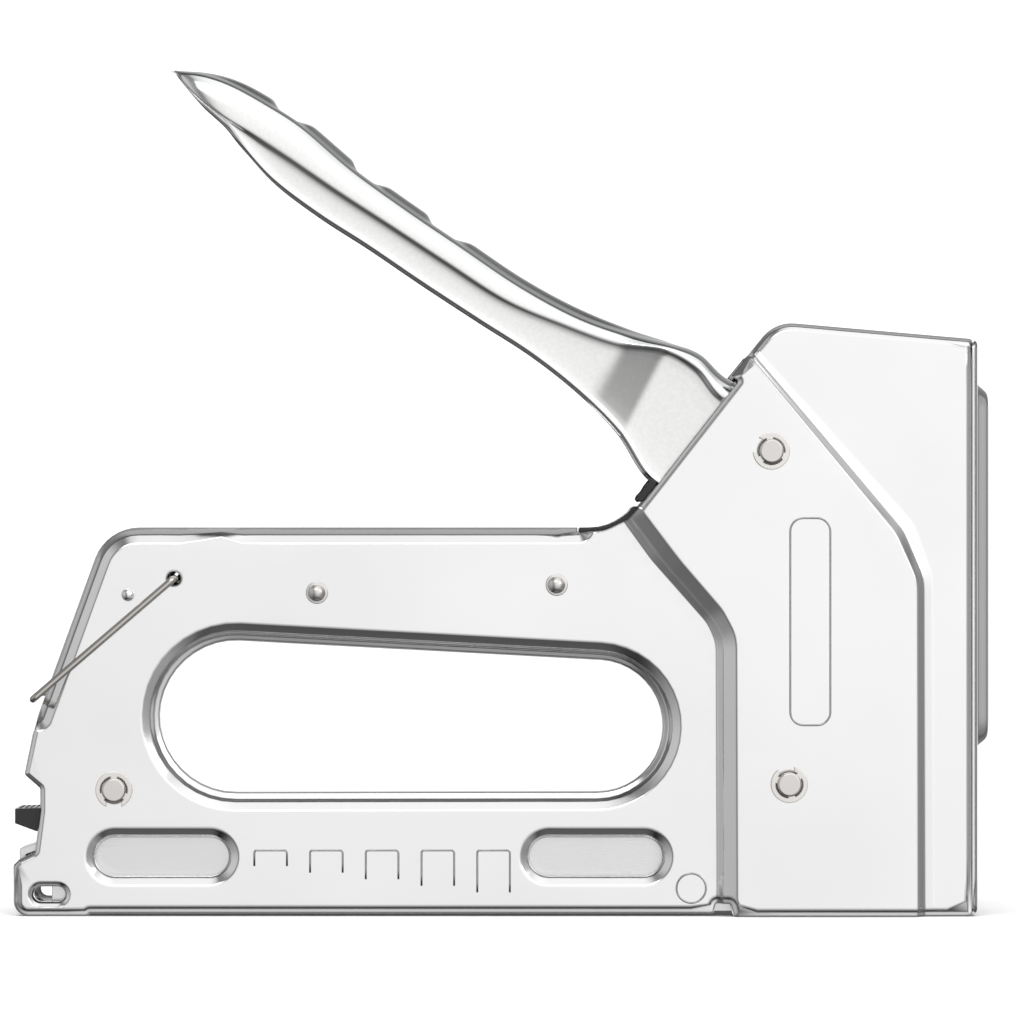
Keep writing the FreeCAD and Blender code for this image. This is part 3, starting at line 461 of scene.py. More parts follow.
def pressed_mesh(name, flat, faces, place, flange):
    """A sheet surface from flat triangles: place gives each corner's spot in space.

    Boundary edges are turned over towards flange(flat corners), where it isn't nan.
    """
    shape = bmesh.new()
    corners = [shape.verts.new(Vector(spot) * MM) for spot in place(flat)]
    for face in faces:
        shape.faces.new([corners[index] for index in face])
    loose = [corner for corner in corners if not corner.link_faces]
    rim = [index for index, corner in enumerate(corners)
           if corner.link_faces and corner.is_boundary]
    targets = {}
    if flange:
        for index, target in zip(rim, flange(flat[rim])):
            if not np.isnan(target).any():
                targets[corners[index]] = Vector(target) * MM
    bmesh.ops.join_triangles(shape, faces=shape.faces, angle_face_threshold=math.radians(4),
                             angle_shape_threshold=math.radians(50))
    turned = [edge for edge in shape.edges
              if edge.is_boundary and all(corner in targets for corner in edge.verts)]
    spots = {tuple(corner.co): target for corner, target in targets.items()}
    made = bmesh.ops.extrude_edge_only(shape, edges=turned)["geom"]
    for corner in made:
        if isinstance(corner, bmesh.types.BMVert):
            corner.co = spots[tuple(corner.co)]
    bmesh.ops.delete(shape, geom=loose, context="VERTS")
    rim = [corner for corner in shape.verts if corner.is_boundary]
    bmesh.ops.remove_doubles(shape, verts=rim, dist=SHORT_EDGE * MM)
    return mesh_of(shape, name)


def crisp_edges(piece):
    """Bakes the modifiers and marks the cut edges sharp, so the flats beside them stay flat."""
    graph = bpy.context.evaluated_depsgraph_get()
    mesh = bpy.data.meshes.new_from_object(piece.evaluated_get(graph))
    mesh.name = piece.name
    piece.modifiers.clear()
    piece.data = mesh
    shape = bmesh.new()
    shape.from_mesh(mesh)
    for edge in shape.edges:
        edge.smooth = math.degrees(edge.calc_face_angle(0.0)) < CUT_EDGE
    shape.to_mesh(mesh)
    shape.free()
    even_normals(piece, keep_sharp=True)


def thicken(piece, thickness, edge=None):
    """Sheet thickness behind the surface, its cut edges broken by edge or else left crisp."""
    solid = piece.modifiers.new("sheet", "SOLIDIFY")
    solid.thickness = thickness * MM
    solid.offset = -1.0
    solid.use_even_offset = False
    solid.use_quality_normals = True
    solid.thickness_clamp = 0.0
    if edge:
        break_edges(piece, edge, 75)
    else:
        crisp_edges(piece)
    return solid


# ------------ housing shells

SHEET = 1.2
shell_low, shell_high = box("right_shell")
REAR, NOSE, HEAD_TOP = shell_low.x, shell_high.x, shell_high.z
PANEL = -shell_low.y
ZONE, GRIP = PANEL - 2.0, PANEL - 3.0       # how far out the nose zone and the grip stand
GRIP_TOP = 74.0

# Sections of the bends and rims, (distance from the edge, drop below the face).
ROLLED = eased([(0, 5.3), (1.35, 1.35), (3.0, 0)])
HEAD_BEND = eased([(0, 2.2), (0.65, 0.5), (1.4, 0)], 0.25)
FOOT_BEND = eased([(0, 1.5), (0.2, 0.85), (1.0, 0.75), (1.3, 0.1), (1.7, 0)], 0.12)
REAR_BEND = eased([(0, 0.9), (0.3, 0.3), (0.9, 0)], 0.2)
SLANT_BEND = eased([(0, 0.7), (0.55, 0.2), (1.1, 0)], 0.2)
NOSE_BEND = eased([(0, 1.3), (0.7, 0.4), (1.4, 0)], 0.25)
HAND_RIM = eased([(0, 3.6), (0.2, 2.55), (1.3, 2.15), (1.9, 1.0), (3.5, 0)], 0.3)
WINDOW_RIM = eased([(0, 2.0), (0.4, 1.0), (1.9, 0)], 0.35)
SLOT_RIM = eased([(0, 1.3), (0.25, 0.6), (1.0, 0)], 0.2)
HOLE_RIM = eased([(0, 0.3), (0.3, 0)], 0.12)

# Stretches of the outline, clockwise: points, bend section, and where the flange ends.
MIDDLE, FOOT_FLANGE, REAR_FLANGE = -0.05, -6.9, -8.0
STRETCHES = [
    ([(REAR, 6), (REAR, 9.7, 0.8), (REAR + 1.1, 10.8, 0.8), (REAR + 4.1, 12.2, 0.8),
      (REAR + 5.1, 20.0)], REAR_BEND, REAR_FLANGE),
    ([(REAR + 5.1, 20.0), (REAR + 5.1, 24.4, 0.8), (REAR + 2.1, 27.0, 0.8),
      (REAR + 4.4, 38.2)], REAR_BEND, MIDDLE),
    ([(REAR + 4.4, 38.2), (REAR + 17.4, GRIP_TOP, 9), (14.4, GRIP_TOP)], ROLLED, MIDDLE),
    ([(14.4, GRIP_TOP), (14.4, GRIP_TOP - 0.9, 0.2), (19.6, GRIP_TOP - 0.6, 6),
      (24.0, GRIP_TOP + 1.6, 4), (26.3, 78.2)], None, None),
    ([(26.3, 78.2), (27.3, 79.3, 1.2), (44.9, 101.8, 0.4), (43.6, 102.8)], SLANT_BEND, None),
    ([(43.6, 102.8), (52.0, HEAD_TOP, 7), (NOSE, HEAD_TOP - 3.3, 1.5),
      (NOSE, HEAD_TOP - 4.8)], HEAD_BEND, MIDDLE),
    ([(NOSE, HEAD_TOP - 4.8), (NOSE, 3)], NOSE_BEND, None),
    ([(NOSE, 3), (NOSE, 0, 1), (44.1, 0, 0.5), (43.4, 2.4, 0.5), (40.7, 2.4, 0.5),
      (40.3, 0.5, 0.5), (REAR + 14.5, 0.5, 0.4), (REAR + 14.0, 0, 0.4), (REAR, 0, 3),
      (REAR, 6)], FOOT_BEND, FOOT_FLANGE),
]
STRETCHES = [(rounded(points), bend, flange) for points, bend, flange in STRETCHES]
OUTLINE = np.vstack([line[:-1] for line, _, _ in STRETCHES])

# Steps up to the raised panel: each side's line on the lower and on the upper level.
LEFT_FOOT = rounded([(40.8, -3), (40.6, 52.1, 7), (39.0, 55.7, 7), (28.3, 67.8, 20),
                     (23.2, 74.9), (20.0, 79.4)])
LEFT_TOP = rounded([(45.0, -3), (44.8, 53.5, 9), (42.0, 58.7, 9), (34.2, 67.8, 20),
                    (26.9, 77.4), (24.2, 81.0)])
RIGHT_FOOT = rounded([(45.0, 111.9), (78.6, 74.8, 9), (82.0, 65.0, 9), (82.3, -3)])
RIGHT_TOP = rounded([(43.8, 110.3), (74.5, 72.6, 7), (78.6, 63.8, 7), (78.7, -3)])
# Where the slope of each step changes, as shares of its width and of its height.
LEFT_KNEE, RIGHT_KNEE = (0.36, 0.58), (0.56, 0.2)
BEND_SHARES = [0, .035, .07, .105, .14, .86, .895, .93, .965, 1]
KNEE_SHIFTS = (-.07, -.035, 0, .035, .07)
FOOT_AREA = np.vstack([LEFT_FOOT, [(40.0, 113.0)], RIGHT_FOOT])
TOP_AREA = np.vstack([LEFT_TOP, [(38.0, 113.0)], RIGHT_TOP])
STEP_POINTS = 110


def along_step(low_line, high_line, share):
    """A line part of the way from the foot of a step to its top."""
    return (evenly(low_line, STEP_POINTS) * (1 - share)
            + evenly(high_line, STEP_POINTS) * share)


def evenly(line, count):
    """A polyline resampled at equal distances."""
    run = np.concatenate([[0], np.cumsum(np.linalg.norm(np.diff(line, axis=0), axis=1))])
    spots = np.linspace(0, run[-1], count)
    return np.stack([np.interp(spots, run, line[:, axis]) for axis in (0, 1)], axis=1)


def step_rise(share, knee=(0.5, 0.5), ease=0.07):
    """0 to 1 over two straight slopes that meet at a knee, with round bends."""
    spots = (ease, knee[0], 1 - ease)
    shifts = np.linspace(-ease, ease, 9)
    return np.mean([np.interp(share + shift, spots, (0, knee[1], 1)) for shift in shifts], axis=0)


def centre(node):
    """Middle of a CAD node, as seen from the side."""
    low, high = box(node)
    return (low.x + high.x) / 2, (low.z + high.z) / 2


WINDOW_Z, WINDOW_HALF, WINDOW_REACH = 11.35, 3.6, 9.05
HAND = ((-50.7, 38.0, 14.4), (18.05, 36.2, 12.5))
SLOT = ((-87.8, 4.2, 1.45), (-84.6, 4.2, 1.45))
BAIL_HINGE = (-62.4, 64.3)
BAIL_HOLE, PIN_HOLE = 1.25, 2.35
DETENT, DETENT_R, DETENT_HIGH = (-71.1, 61.2), 1.15, 0.55
DETENT_RINGS = (0.25, 0.5, 0.75, 0.9, 1.0, 1.12, 1.3)


def window(x):
    """The two ends of a long window round a middle."""
    return ((x - WINDOW_REACH, WINDOW_Z, WINDOW_HALF), (x + WINDOW_REACH, WINDOW_Z, WINDOW_HALF))


WINDOW_FLANGE, SLOT_FLANGE = -6.6, -8.5
# Each is its outline grown by a distance, its rim section, and where its flange ends.
CUTOUTS = [
    (lambda grow: capsule(*HAND, grow), HAND_RIM, MIDDLE),
    (lambda grow: capsule(*window(-64.7), grow), WINDOW_RIM, WINDOW_FLANGE),
    (lambda grow: capsule(*window(17.9), grow), WINDOW_RIM, WINDOW_FLANGE),
    (lambda grow: capsule(*SLOT, grow, 10), SLOT_RIM, SLOT_FLANGE),
    (lambda grow: ring(*BAIL_HINGE, BAIL_HOLE + grow), HOLE_RIM, None),
]
for pin in ("pivot_pin", "nose_pin", "rear_pin"):
    CUTOUTS.append((lambda grow, pin=pin: ring(*centre(pin), PIN_HOLE + grow), HOLE_RIM, None))


def shell_height(flat):
    """How far the outer surface stands from the middle plane."""
    lines = (LEFT_FOOT, LEFT_TOP, RIGHT_FOOT, RIGHT_TOP)
    left_foot, left_top, right_foot, right_top = [distance(flat, line) for line in lines]
    on_right = right_foot < left_foot
    foot = np.where(on_right, right_foot, left_foot)
    top = np.where(on_right, right_top, left_top)
    share = np.where(inside(flat, TOP_AREA), 1.0, foot / np.maximum(foot + top, 1e-9))
    share = np.where(inside(flat, FOOT_AREA), share, 0.0)
    base = np.where(on_right, ZONE, GRIP)
    rise = np.where(on_right, step_rise(share, RIGHT_KNEE), step_rise(share, LEFT_KNEE))
    height = base + (PANEL - base) * rise
    drop = np.zeros(len(flat))
    for line, bend, _ in STRETCHES:
        if bend is not None:
            reach = distance(flat, line)
            if bend is ROLLED:
                reach = reach / joggle(flat[:, 0])
            drop = np.maximum(drop, np.interp(reach, bend[:, 0], bend[:, 1]))
    for loop, rim, _ in CUTOUTS:
        reach = distance(flat, loop(0.0), True)
        drop = np.maximum(drop, np.interp(reach, rim[:, 0], rim[:, 1]))
    dome = np.linalg.norm(flat - DETENT, axis=1) / DETENT_R
    return height - drop + DETENT_HIGH * np.clip(1 - dome ** 2, 0, 1)


JOGGLE_X, JOGGLE_REACH, JOGGLE_SHARE = -54.0, 3.6, 0.4


def joggle(x):
    """The rolled edge narrows where one half's edge is tucked under the other's."""
    return 1 - JOGGLE_SHARE * np.exp(-((x - JOGGLE_X) / JOGGLE_REACH) ** 4)


def shell_flange(flat):
    """Where the sheet's edge is turned over to, or nan where it is only cut off."""
    edges = [(distance(flat, line), flange) for line, _, flange in STRETCHES]
    edges += [(distance(flat, loop(0.0), True), flange) for loop, _, flange in CUTOUTS]
    nearest = np.argmin([reach for reach, _ in edges], axis=0)
    levels = np.array([np.nan if flange is None else flange for _, flange in edges])
    return np.stack([flat[:, 0], levels[nearest], flat[:, 1]], axis=1)


ARC_CLEAR = 0.12


def end_arcs(spot, away, bend):
    """Guides for the round end of a bend, on the side that faces away from it."""
    arcs = []
    for reach in bend[1:, 0]:
        arc = ring(*spot, reach, 48)
        kept = inside(arc, OUTLINE) & (distance(arc, OUTLINE, True) > ARC_CLEAR)
        kept &= (arc - spot) @ away > ARC_CLEAR
        for run in np.split(np.arange(len(arc)), np.flatnonzero(np.diff(kept)) + 1):
            if len(run) > 1 and kept[run].all():
                arcs.append((arc[run], False))
    return arcs


def shell_surface():
    """The near half's outer surface, with edges along every bend."""
    holes = [loop(0.0) for loop, _, _ in CUTOUTS]
    guides = []
    for line, bend, _ in STRETCHES:
        if bend is not None:
            for reach in bend[1:, 0]:
                narrowed = reach * (joggle(line[:, 0]) if bend is ROLLED else 1.0)
                guides.append((parallel(line, narrowed, OUTLINE), False))
    for loop, rim, _ in CUTOUTS:
        guides += [(loop(reach), True) for reach in rim[1:, 0]]
    rolled, head = STRETCHES[2][0], STRETCHES[5][0]
    for spot, away, bend in ((rolled[0], rolled[0] - rolled[1], ROLLED),
                             (rolled[-1], rolled[-1] - rolled[-2], ROLLED),
                             (head[0], head[0] - head[1], HEAD_BEND)):
        guides += end_arcs(spot, away / np.linalg.norm(away), bend)
    for low_line, high_line, knee in ((LEFT_FOOT, LEFT_TOP, LEFT_KNEE),
                                      (RIGHT_FOOT, RIGHT_TOP, RIGHT_KNEE)):
        for share in BEND_SHARES + [knee[0] + shift for shift in KNEE_SHIFTS]:
            guides.append((along_step(low_line, high_line, share), False))
    for share in DETENT_RINGS:
        guides.append((ring(*DETENT, DETENT_R * share, 16), True))
    flat, faces = tessellate(OUTLINE, holes, guides)
    return pressed_mesh("right_shell_pressing", flat, faces,
                        lambda spots: np.stack([spots[:, 0], -shell_height(spots), spots[:, 1]],
                                               axis=1), shell_flange)


def make_shells():
    surface = shell_surface()
    mirrored = surface.copy()
    mirrored.transform(Matrix.Scale(-1, 4, (0, 1, 0)))
    mirrored.flip_normals()
    for name, mesh, node in (("right_shell_pressing", surface, "right_shell"),
                             ("left_shell_pressing", mirrored, "left_shell")):
        thicken(link(name, mesh, "housing", "housing_chrome", (node,)), SHEET)


make_shells()


# ------------ nose plate

PLATE_THICK = 0.9
RIB_FOOT = rounded([(-8, 31.1, 3), (-8, 102.4, 3), (8, 102.4, 3), (8, 31.1, 3)], closed=True)
RIB_TOP = rounded([(-6, 34.4, 2.5), (-6, 99.1, 2.5), (6, 99.1, 2.5), (6, 34.4, 2.5)],
                  closed=True)
RIB_SHARES = (0, .07, .14, .21, .28, .34, .5, .66, .72, .79, .86, .93, 1)
PLATE_EDGE = eased([(0, 0.5), (0.35, 0.12), (0.8, 0)], 0.15)


def make_front_plate():
    low, high = box("front_plate")
    face = NOSE + PLATE_THICK
    outline = rounded([(low.y, low.z, 1.5), (low.y, high.z, 1.5), (high.y, high.z, 1.5),
                       (high.y, low.z, 1.5)], closed=True)
    closed_outline = np.vstack([outline, outline[:1]])

    def height(flat):
        foot, top = distance(flat, RIB_FOOT, True), distance(flat, RIB_TOP, True)
        share = np.where(inside(flat, RIB_TOP), 1.0, foot / np.maximum(foot + top, 1e-9))
        share = np.where(inside(flat, RIB_FOOT), share, 0.0)
        rim = distance(flat, outline, True)
        drop = np.interp(rim, PLATE_EDGE[:, 0], PLATE_EDGE[:, 1])
        return face + (high.x - face) * step_rise(share, ease=0.2) - drop

    guides = [(parallel(closed_outline, reach), True) for reach in PLATE_EDGE[1:, 0]]
    for share in RIB_SHARES:
        guides.append((along_step(np.vstack([RIB_FOOT, RIB_FOOT[:1]]),
                                  np.vstack([RIB_TOP, RIB_TOP[:1]]), share), True))
    flat, faces = tessellate(outline, [], guides)
    mesh = pressed_mesh("front_plate_pressing", flat, faces,
                        lambda spots: np.stack([height(spots), spots[:, 0], spots[:, 1]],
                                               axis=1), None)
    thicken(link("front_plate_pressing", mesh, "housing", "nose_chrome", ("front_plate",)),
            PLATE_THICK)


make_front_plate()


# ------------ handle

# Stations from the tip to the hidden front end: shoulder, crease and lower edge, (x, z) each.
HANDLE_STATIONS = np.array([
    [(-62.9, 161.6), (-62.6, 161.0), (-62.5, 160.8)],
    [(-57.2, 160.8), (-57.9, 156.1), (-57.7, 155.7)],
    [(-51.4, 158.8), (-53.0, 152.3), (-52.8, 151.5)],
    [(-44.3, 154.9), (-47.4, 149.1), (-49.3, 146.8)],
    [(-37.6, 150.5), (-40.6, 144.7), (-43.6, 140.5)],
    [(-28.3, 142.6), (-31.4, 138.4), (-35.0, 134.0)],
    [(-17.6, 134.9), (-20.8, 131.5), (-25.5, 127.9)],
    [(-7.4, 128.0), (-10.6, 124.8), (-15.5, 121.1)],
    [(3.6, 120.6), (0.8, 117.5), (-4.5, 113.9)],
    [(14.6, 114.7), (11.6, 112.9), (6.0, 107.1)],
    [(24.0, 111.3), (22.0, 109.2), (15.4, 99.6)],
    [(32.5, 109.1), (30.9, 107.9), (22.9, 91.9)],
    [(38.0, 107.0), (37.2, 104.4), (28.9, 83.2)],
    [(43.5, 102.1), (42.5, 98.5), (38.0, 79.5)],
    [(54.0, 98.0), (53.5, 95.0), (52.0, 78.5)],
])
GRIP_HALF, CHEEK_HALF = 9.4, 11.6
TIP_HALF, TIP_LENGTH = 2.6, 17.0
FACET_START = np.array([(15.2, 98.9), (20.7, 108.5)])
FACET_END = np.array([(23.3, 91.9), (30.9, 106.5)])
# Knuckle pads: where each one starts, its full height, where it starts to fall, and its end.
PADS = [(-62.6, -47.5, -44.6, -42.4), (-39.7, -36.6, -29.6, -27.4),
        (-25.0, -21.9, -15.2, -13.0), (-9.6, -6.0, 14.0, 38.0)]
PAD_HIGH = 1.1
# Half of the section: (share of the half width, level above the shoulder, share of the pad).
CROWN = [(0.0, 0.22, 1.0), (0.16, 0.18, 1.0), (0.32, 0.10, 1.0), (0.44, 0.0, 1.0),
         (0.515, -0.02, 0.86), (0.565, 0.0, 0.42), (0.605, 0.0, 0.1), (0.65, -0.02, 0.0),
         (0.70, -0.1, 0.0)]
BAND_TURNS = (14, 28, 42, 56, 70, 82, 90)
# Below the crease: (millimetres down the side, most share of its height, half-width share).
SIDE = [(0.35, 0.1, 0.985), (0.8, 0.2, 0.955), (1.6, 0.3, 0.94)]
SIDE_MIDDLE = 0.937
HEM = [(1.2, 0.3, 0.94), (0.6, 0.15, 0.955), (0.0, 0.0, 0.985)]
HANDLE_ROWS, HANDLE_SHEET, HANDLE_EDGE, TIP_SHEET_SHARE = 190, 1.0, 0.08, 0.1


def spline(knots, count):
    """Catmull-Rom curve through rows of knots, resampled evenly along the middle line."""
    padded = np.concatenate([[2 * knots[0] - knots[1]], knots, [2 * knots[-1] - knots[-2]]])
    dense = []
    for first, second, third, fourth in zip(padded, padded[1:], padded[2:], padded[3:]):
        for share in np.linspace(0, 1, 24, endpoint=False):
            dense.append(0.5 * (2 * second + (third - first) * share
                                + (2 * first - 5 * second + 4 * third - fourth) * share ** 2
                                + (3 * second - first - 3 * third + fourth) * share ** 3))
    dense = np.array(dense + [knots[-1]])
    run = np.concatenate([[0], np.cumsum(np.linalg.norm(np.diff(dense[:, 1], axis=0), axis=1))])
    spots = np.linspace(0, run[-1], count)
    columns = dense.reshape(len(dense), -1)
    even = np.stack([np.interp(spots, run, column) for column in columns.T], axis=1)
    return even.reshape((count,) + knots.shape[1:]), spots


def side_of(spots, line):
    """Signed distance from a straight line, positive on its right."""
    along = (line[1] - line[0]) / np.linalg.norm(line[1] - line[0])
    gap = spots - line[0]
    return gap[:, 0] * along[1] - gap[:, 1] * along[0]


def handle_half(spots, travelled):
    """Half width of the handle at each spot: round tip, slim grip, facet, wide cheeks."""
    after, before = side_of(spots, FACET_START), -side_of(spots, FACET_END)
    share = np.clip(after / np.maximum(after + before, 1e-6), 0, 1)
    share = np.where(before <= 0, 1.0, np.where(after <= 0, 0.0, share))
    flare = np.where(share < 0.3, share ** 2 / 0.6, share - 0.15) / 0.85
    tip = np.sqrt(np.clip(1 - (1 - np.minimum(travelled / TIP_LENGTH, 1)) ** 2.4, 0, 1))
    return (TIP_HALF + (GRIP_HALF - TIP_HALF) * tip) + (CHEEK_HALF - GRIP_HALF) * flare


def pad_rise(x):
    """How far the knuckle pads lift the crown along the handle."""
    total = np.zeros(len(x))
    for start, full, falling, end in PADS:
        up = np.clip((x - start) / (full - start), 0, 1)
        down = np.clip((end - x) / (end - falling), 0, 1)
        share = np.minimum(up, down)
        total += share * share * (3 - 2 * share)
    return total * PAD_HIGH


def handle_section(lines, travelled):
    """Columns of points from the handle's ridge to its lower edge, on the near side."""
    shoulder, crease, lower = lines[:, 0], lines[:, 1], lines[:, 2]
    along = np.gradient(shoulder, axis=0)
    along /= np.linalg.norm(along, axis=1, keepdims=True)
    up = np.stack([-along[:, 1], along[:, 0]], axis=1)
    pad = pad_rise(shoulder[:, 0])[:, None]
    side_height = np.linalg.norm(lower - crease, axis=1, keepdims=True)
    down = (lower - crease) / side_height
    half_section = []
    for width, level, share in CROWN:
        half_section.append((width, shoulder + up * (level + pad * share)))
    edge = CROWN[-1][0]
    for turn in BAND_TURNS:
        angle = math.radians(turn)
        spot = shoulder + up * CROWN[-1][1] * math.cos(angle)
        spot = spot + (crease - shoulder) * (1 - math.cos(angle))
        half_section.append((edge + (1 - edge) * math.sin(angle), spot))
    for reach, most, width in SIDE:
        half_section.append((width, crease + down * np.minimum(reach, side_height * most)))
    half_section.append((SIDE_MIDDLE, (crease + lower) / 2))
    for reach, most, width in HEM:
        half_section.append((width, lower - down * np.minimum(reach, side_height * most)))
    columns = []
    for width, spots in half_section:
        across = width * handle_half(spots, travelled)
        columns.append(np.stack([spots[:, 0], -across, spots[:, 1]], axis=1))
    return columns


def make_handle():
    lines, travelled = spline(HANDLE_STATIONS, HANDLE_ROWS)
    columns = handle_section(lines, travelled)
    mirrored = [column * (1, -1, 1) for column in columns[1:]]
    grid = np.stack(columns[::-1] + mirrored, axis=1)
    rows, across = grid.shape[:2]
    faces = []
    for row in range(rows - 1):
        for column in range(across - 1):
            first = row * across + column
            faces.append((first, first + across, first + across + 1, first + 1))
    mesh = bpy.data.meshes.new("squeeze_handle_pressing")
    mesh.from_pydata((grid.reshape(-1, 3) * MM).tolist(), [], faces)
    piece = link("squeeze_handle_pressing", mesh, "handle", "handle_chrome", ("squeeze_handle",))
    smooth = piece.modifiers.new("smooth", "SUBSURF")
    smooth.levels = smooth.render_levels = 1
    full = piece.vertex_groups.new(name="full_thickness")
    for row in range(rows):
        share = min(travelled[row] / TIP_LENGTH, 1.0)
        full.add(range(row * across, (row + 1) * across), share, "REPLACE")
    solid = thicken(piece, HANDLE_SHEET, HANDLE_EDGE)
    solid.vertex_group = full.name
    solid.thickness_vertex_group = TIP_SHEET_SHARE


make_handle()


# ------------ rivets and trims

TURNED_STEPS = 40


def turned(name, profile, spots, body, slot, replaced=()):
    """Turned heads: profile is (radius, height above the face), spots are (x, y, z, side)."""
    shape = bmesh.new()
    angles = [2 * math.pi * step / TURNED_STEPS for step in range(TURNED_STEPS)]
    for x, y, z, side in spots:
        rings = []
        for radius, height in profile:
            rings.append([shape.verts.new(Vector((
                x + radius * math.cos(angle), y + side * height,
                z + radius * math.sin(angle))) * MM) for angle in angles])
        for ring_low, ring_high in zip(rings, rings[1:]):
            for step in range(TURNED_STEPS):
                after = (step + 1) % TURNED_STEPS
                shape.faces.new([ring_low[step], ring_low[after], ring_high[after],
                                 ring_high[step]])
        shape.faces.new(rings[0])
        shape.faces.new(rings[-1])
    bmesh.ops.recalc_face_normals(shape, faces=shape.faces)
    even_normals(link(name, mesh_of(shape, name), body, slot, replaced))


def extruded(name, outlines, body, slot, edge, replaced=()):
    """Blocks from flat outlines: each is (points, low y, high y), with rounded edges."""
    shape = bmesh.new()
    for points, low, high in outlines:
        first = [shape.verts.new(Vector((x, low, z)) * MM) for x, z in points]
        second = [shape.verts.new(Vector((x, high, z)) * MM) for x, z in points]
        shape.faces.new(first)
        shape.faces.new(second)
        for index in range(len(points)):
            after = (index + 1) % len(points)
            shape.faces.new([first[index], first[after], second[after], second[index]])
    bmesh.ops.recalc_face_normals(shape, faces=shape.faces)
    ends = [face_edge for face_edge in shape.edges
            if math.degrees(face_edge.calc_face_angle(0.0)) > 50]
    bmesh.ops.bevel(shape, geom=ends, offset=edge * MM, offset_type="OFFSET", segments=3,
                    profile=0.5, affect="EDGES", clamp_overlap=False)
    even_normals(link(name, mesh_of(shape, name), body, slot, replaced))


RIVETS = [(-35.2, 61.6), (10.4, 63.1)]
RIVET_HEAD = [(0.04, 0.98), (0.45, 0.95), (0.85, 0.83), (1.2, 0.6), (1.45, 0.3), (1.56, 0.1),
              (1.62, 0.06), (1.95, 0.1), (2.05, 0.08), (2.12, 0.0), (2.0, -0.2)]
turned("grip_rivet_heads", RIVET_HEAD,
       [(x, side * GRIP, z, side) for x, z in RIVETS for side in (-1, 1)],
       "housing", "pin_steel", ("grip_rivets",))


def strip(path, radii):
    """Outline of a strip that follows a path with a half thickness at each point."""
    path, radii = np.array(path, float), np.array(radii, float)[:, None]
    along = np.gradient(path, axis=0)
    along /= np.linalg.norm(along, axis=1, keepdims=True)
    normal = np.stack([-along[:, 1], along[:, 0]], axis=1)
    return np.vstack([path + normal * radii, (path - normal * radii)[::-1]])


LINER_PATH = [(14.7, 73.5), (16.6, 73.5), (18.6, 73.65), (20.4, 74.1), (22.0, 74.8),
              (23.4, 75.7), (24.5, 76.5), (25.1, 77.0), (25.6, 77.45), (25.9, 77.75)]
LINER_HALF = [0.5, 0.5, 0.5, 0.52, 0.55, 0.55, 0.62, 0.85, 0.8, 0.45]
TRIM_PATH = [(25.9, 79.1), (26.5, 79.6), (27.3, 80.6), (28.0, 81.5), (28.7, 82.5), (29.0, 83.0)]
TRIM_HALF = [0.4, 0.75, 0.65, 0.8, 0.75, 0.6]
LINER_INSET, TRIM_WIDE = 0.9, 0.9


def make_slot_strips():
    """The liner at the slot's mouth, and the trims on the slot's two slanted edges."""
    low, high = box("slot_liner")
    liner = strip(LINER_PATH, LINER_HALF)
    extruded("slot_liner_strip", [(liner, low.y + LINER_INSET, high.y - LINER_INSET)],
             "housing", "black_plastic", 0.25, ("slot_liner",))
    low, high = box("edge_trims")
    trim = strip(TRIM_PATH, TRIM_HALF)
    extruded("edge_trim_strips",
             [(trim, low.y, low.y + TRIM_WIDE), (trim, high.y - TRIM_WIDE, high.y)],
             "housing", "black_plastic", 0.2, ("edge_trims",))


make_slot_strips()


# ------------ springs

def springing(node, body, slot, axis):
    """A coil carried over from its CAD node onto its body; axis is not used."""
    source = frame["nodes"][node]
    mesh = source.data.copy()
    mesh.transform(source.matrix_world)
    piece = link(node + "_coil", mesh, body, slot, (node,))
    axis = Vector(axis)
    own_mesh(piece)


springing("power_spring", "housing", "spring_steel", (0, 0, 1))
springing("pusher_spring", "feed_rod", "spring_steel", (-1, 0, 0))


# ------------ raised marks

MARK_HIGH, BEAD_SIDES = 0.2, 8


def raised_lines(name, loops, radius):
    """Thin half-sunk beads along flat lines: each is (points, level, closed), on both sides."""
    shape = bmesh.new()
    for side in (-1, 1):
        for points, level, closed in loops:
            points = np.array(points, float)
            ahead, behind = np.roll(points, -1, axis=0), np.roll(points, 1, axis=0)
            if not closed:
                ahead[-1], behind[0] = points[-1], points[0]
            along = ahead - behind
            along /= np.linalg.norm(along, axis=1, keepdims=True)
            rings = []
            for (x, z), (run_x, run_z) in zip(points, along):
                turn = []
                for step in range(BEAD_SIDES):
                    angle = 2 * math.pi * step / BEAD_SIDES
                    reach, high = radius * math.cos(angle), radius * math.sin(angle)
                    turn.append(shape.verts.new(Vector((
                        x - run_z * reach, side * (level + high), z + run_x * reach)) * MM))
                rings.append(turn)
            pairs = list(zip(rings, rings[1:])) + ([(rings[-1], rings[0])] if closed else [])
            for first, second in pairs:
                for step in range(BEAD_SIDES):
                    after = (step + 1) % BEAD_SIDES
                    shape.faces.new([first[step], first[after], second[after], second[step]])
            if not closed:
                shape.faces.new(rings[0])
                shape.faces.new(rings[-1])
    bmesh.ops.recalc_face_normals(shape, faces=shape.faces)
    link(name, mesh_of(shape, name), "housing", "housing_chrome")


def staple_outline(x, z, width, leg):
    """A staple drawn as one open line: crown on top, both legs down."""
    return rounded([(x - width / 2, z - leg), (x - width / 2, z, 0.5), (x + width / 2, z, 0.5),
                    (x + width / 2, z - leg)], spacing=2.0, turn_step=18)


FIRST_STAPLE, STAPLE_PITCH, STAPLE_TOP, STAPLE_WIDE = -44.0, 10.6, 12.6, 6.2
SHORTEST_LEG, LEG_STEP, STAPLE_COUNT = 3.0, 1.25, 5
ROUND_MARK = (36.0, 5.4, 2.8)
PANEL_MARK = [(54.7, 36.5, 2.5), (54.7, 75.8, 2.5), (62.3, 75.8, 2.5), (62.3, 36.5, 2.5)]


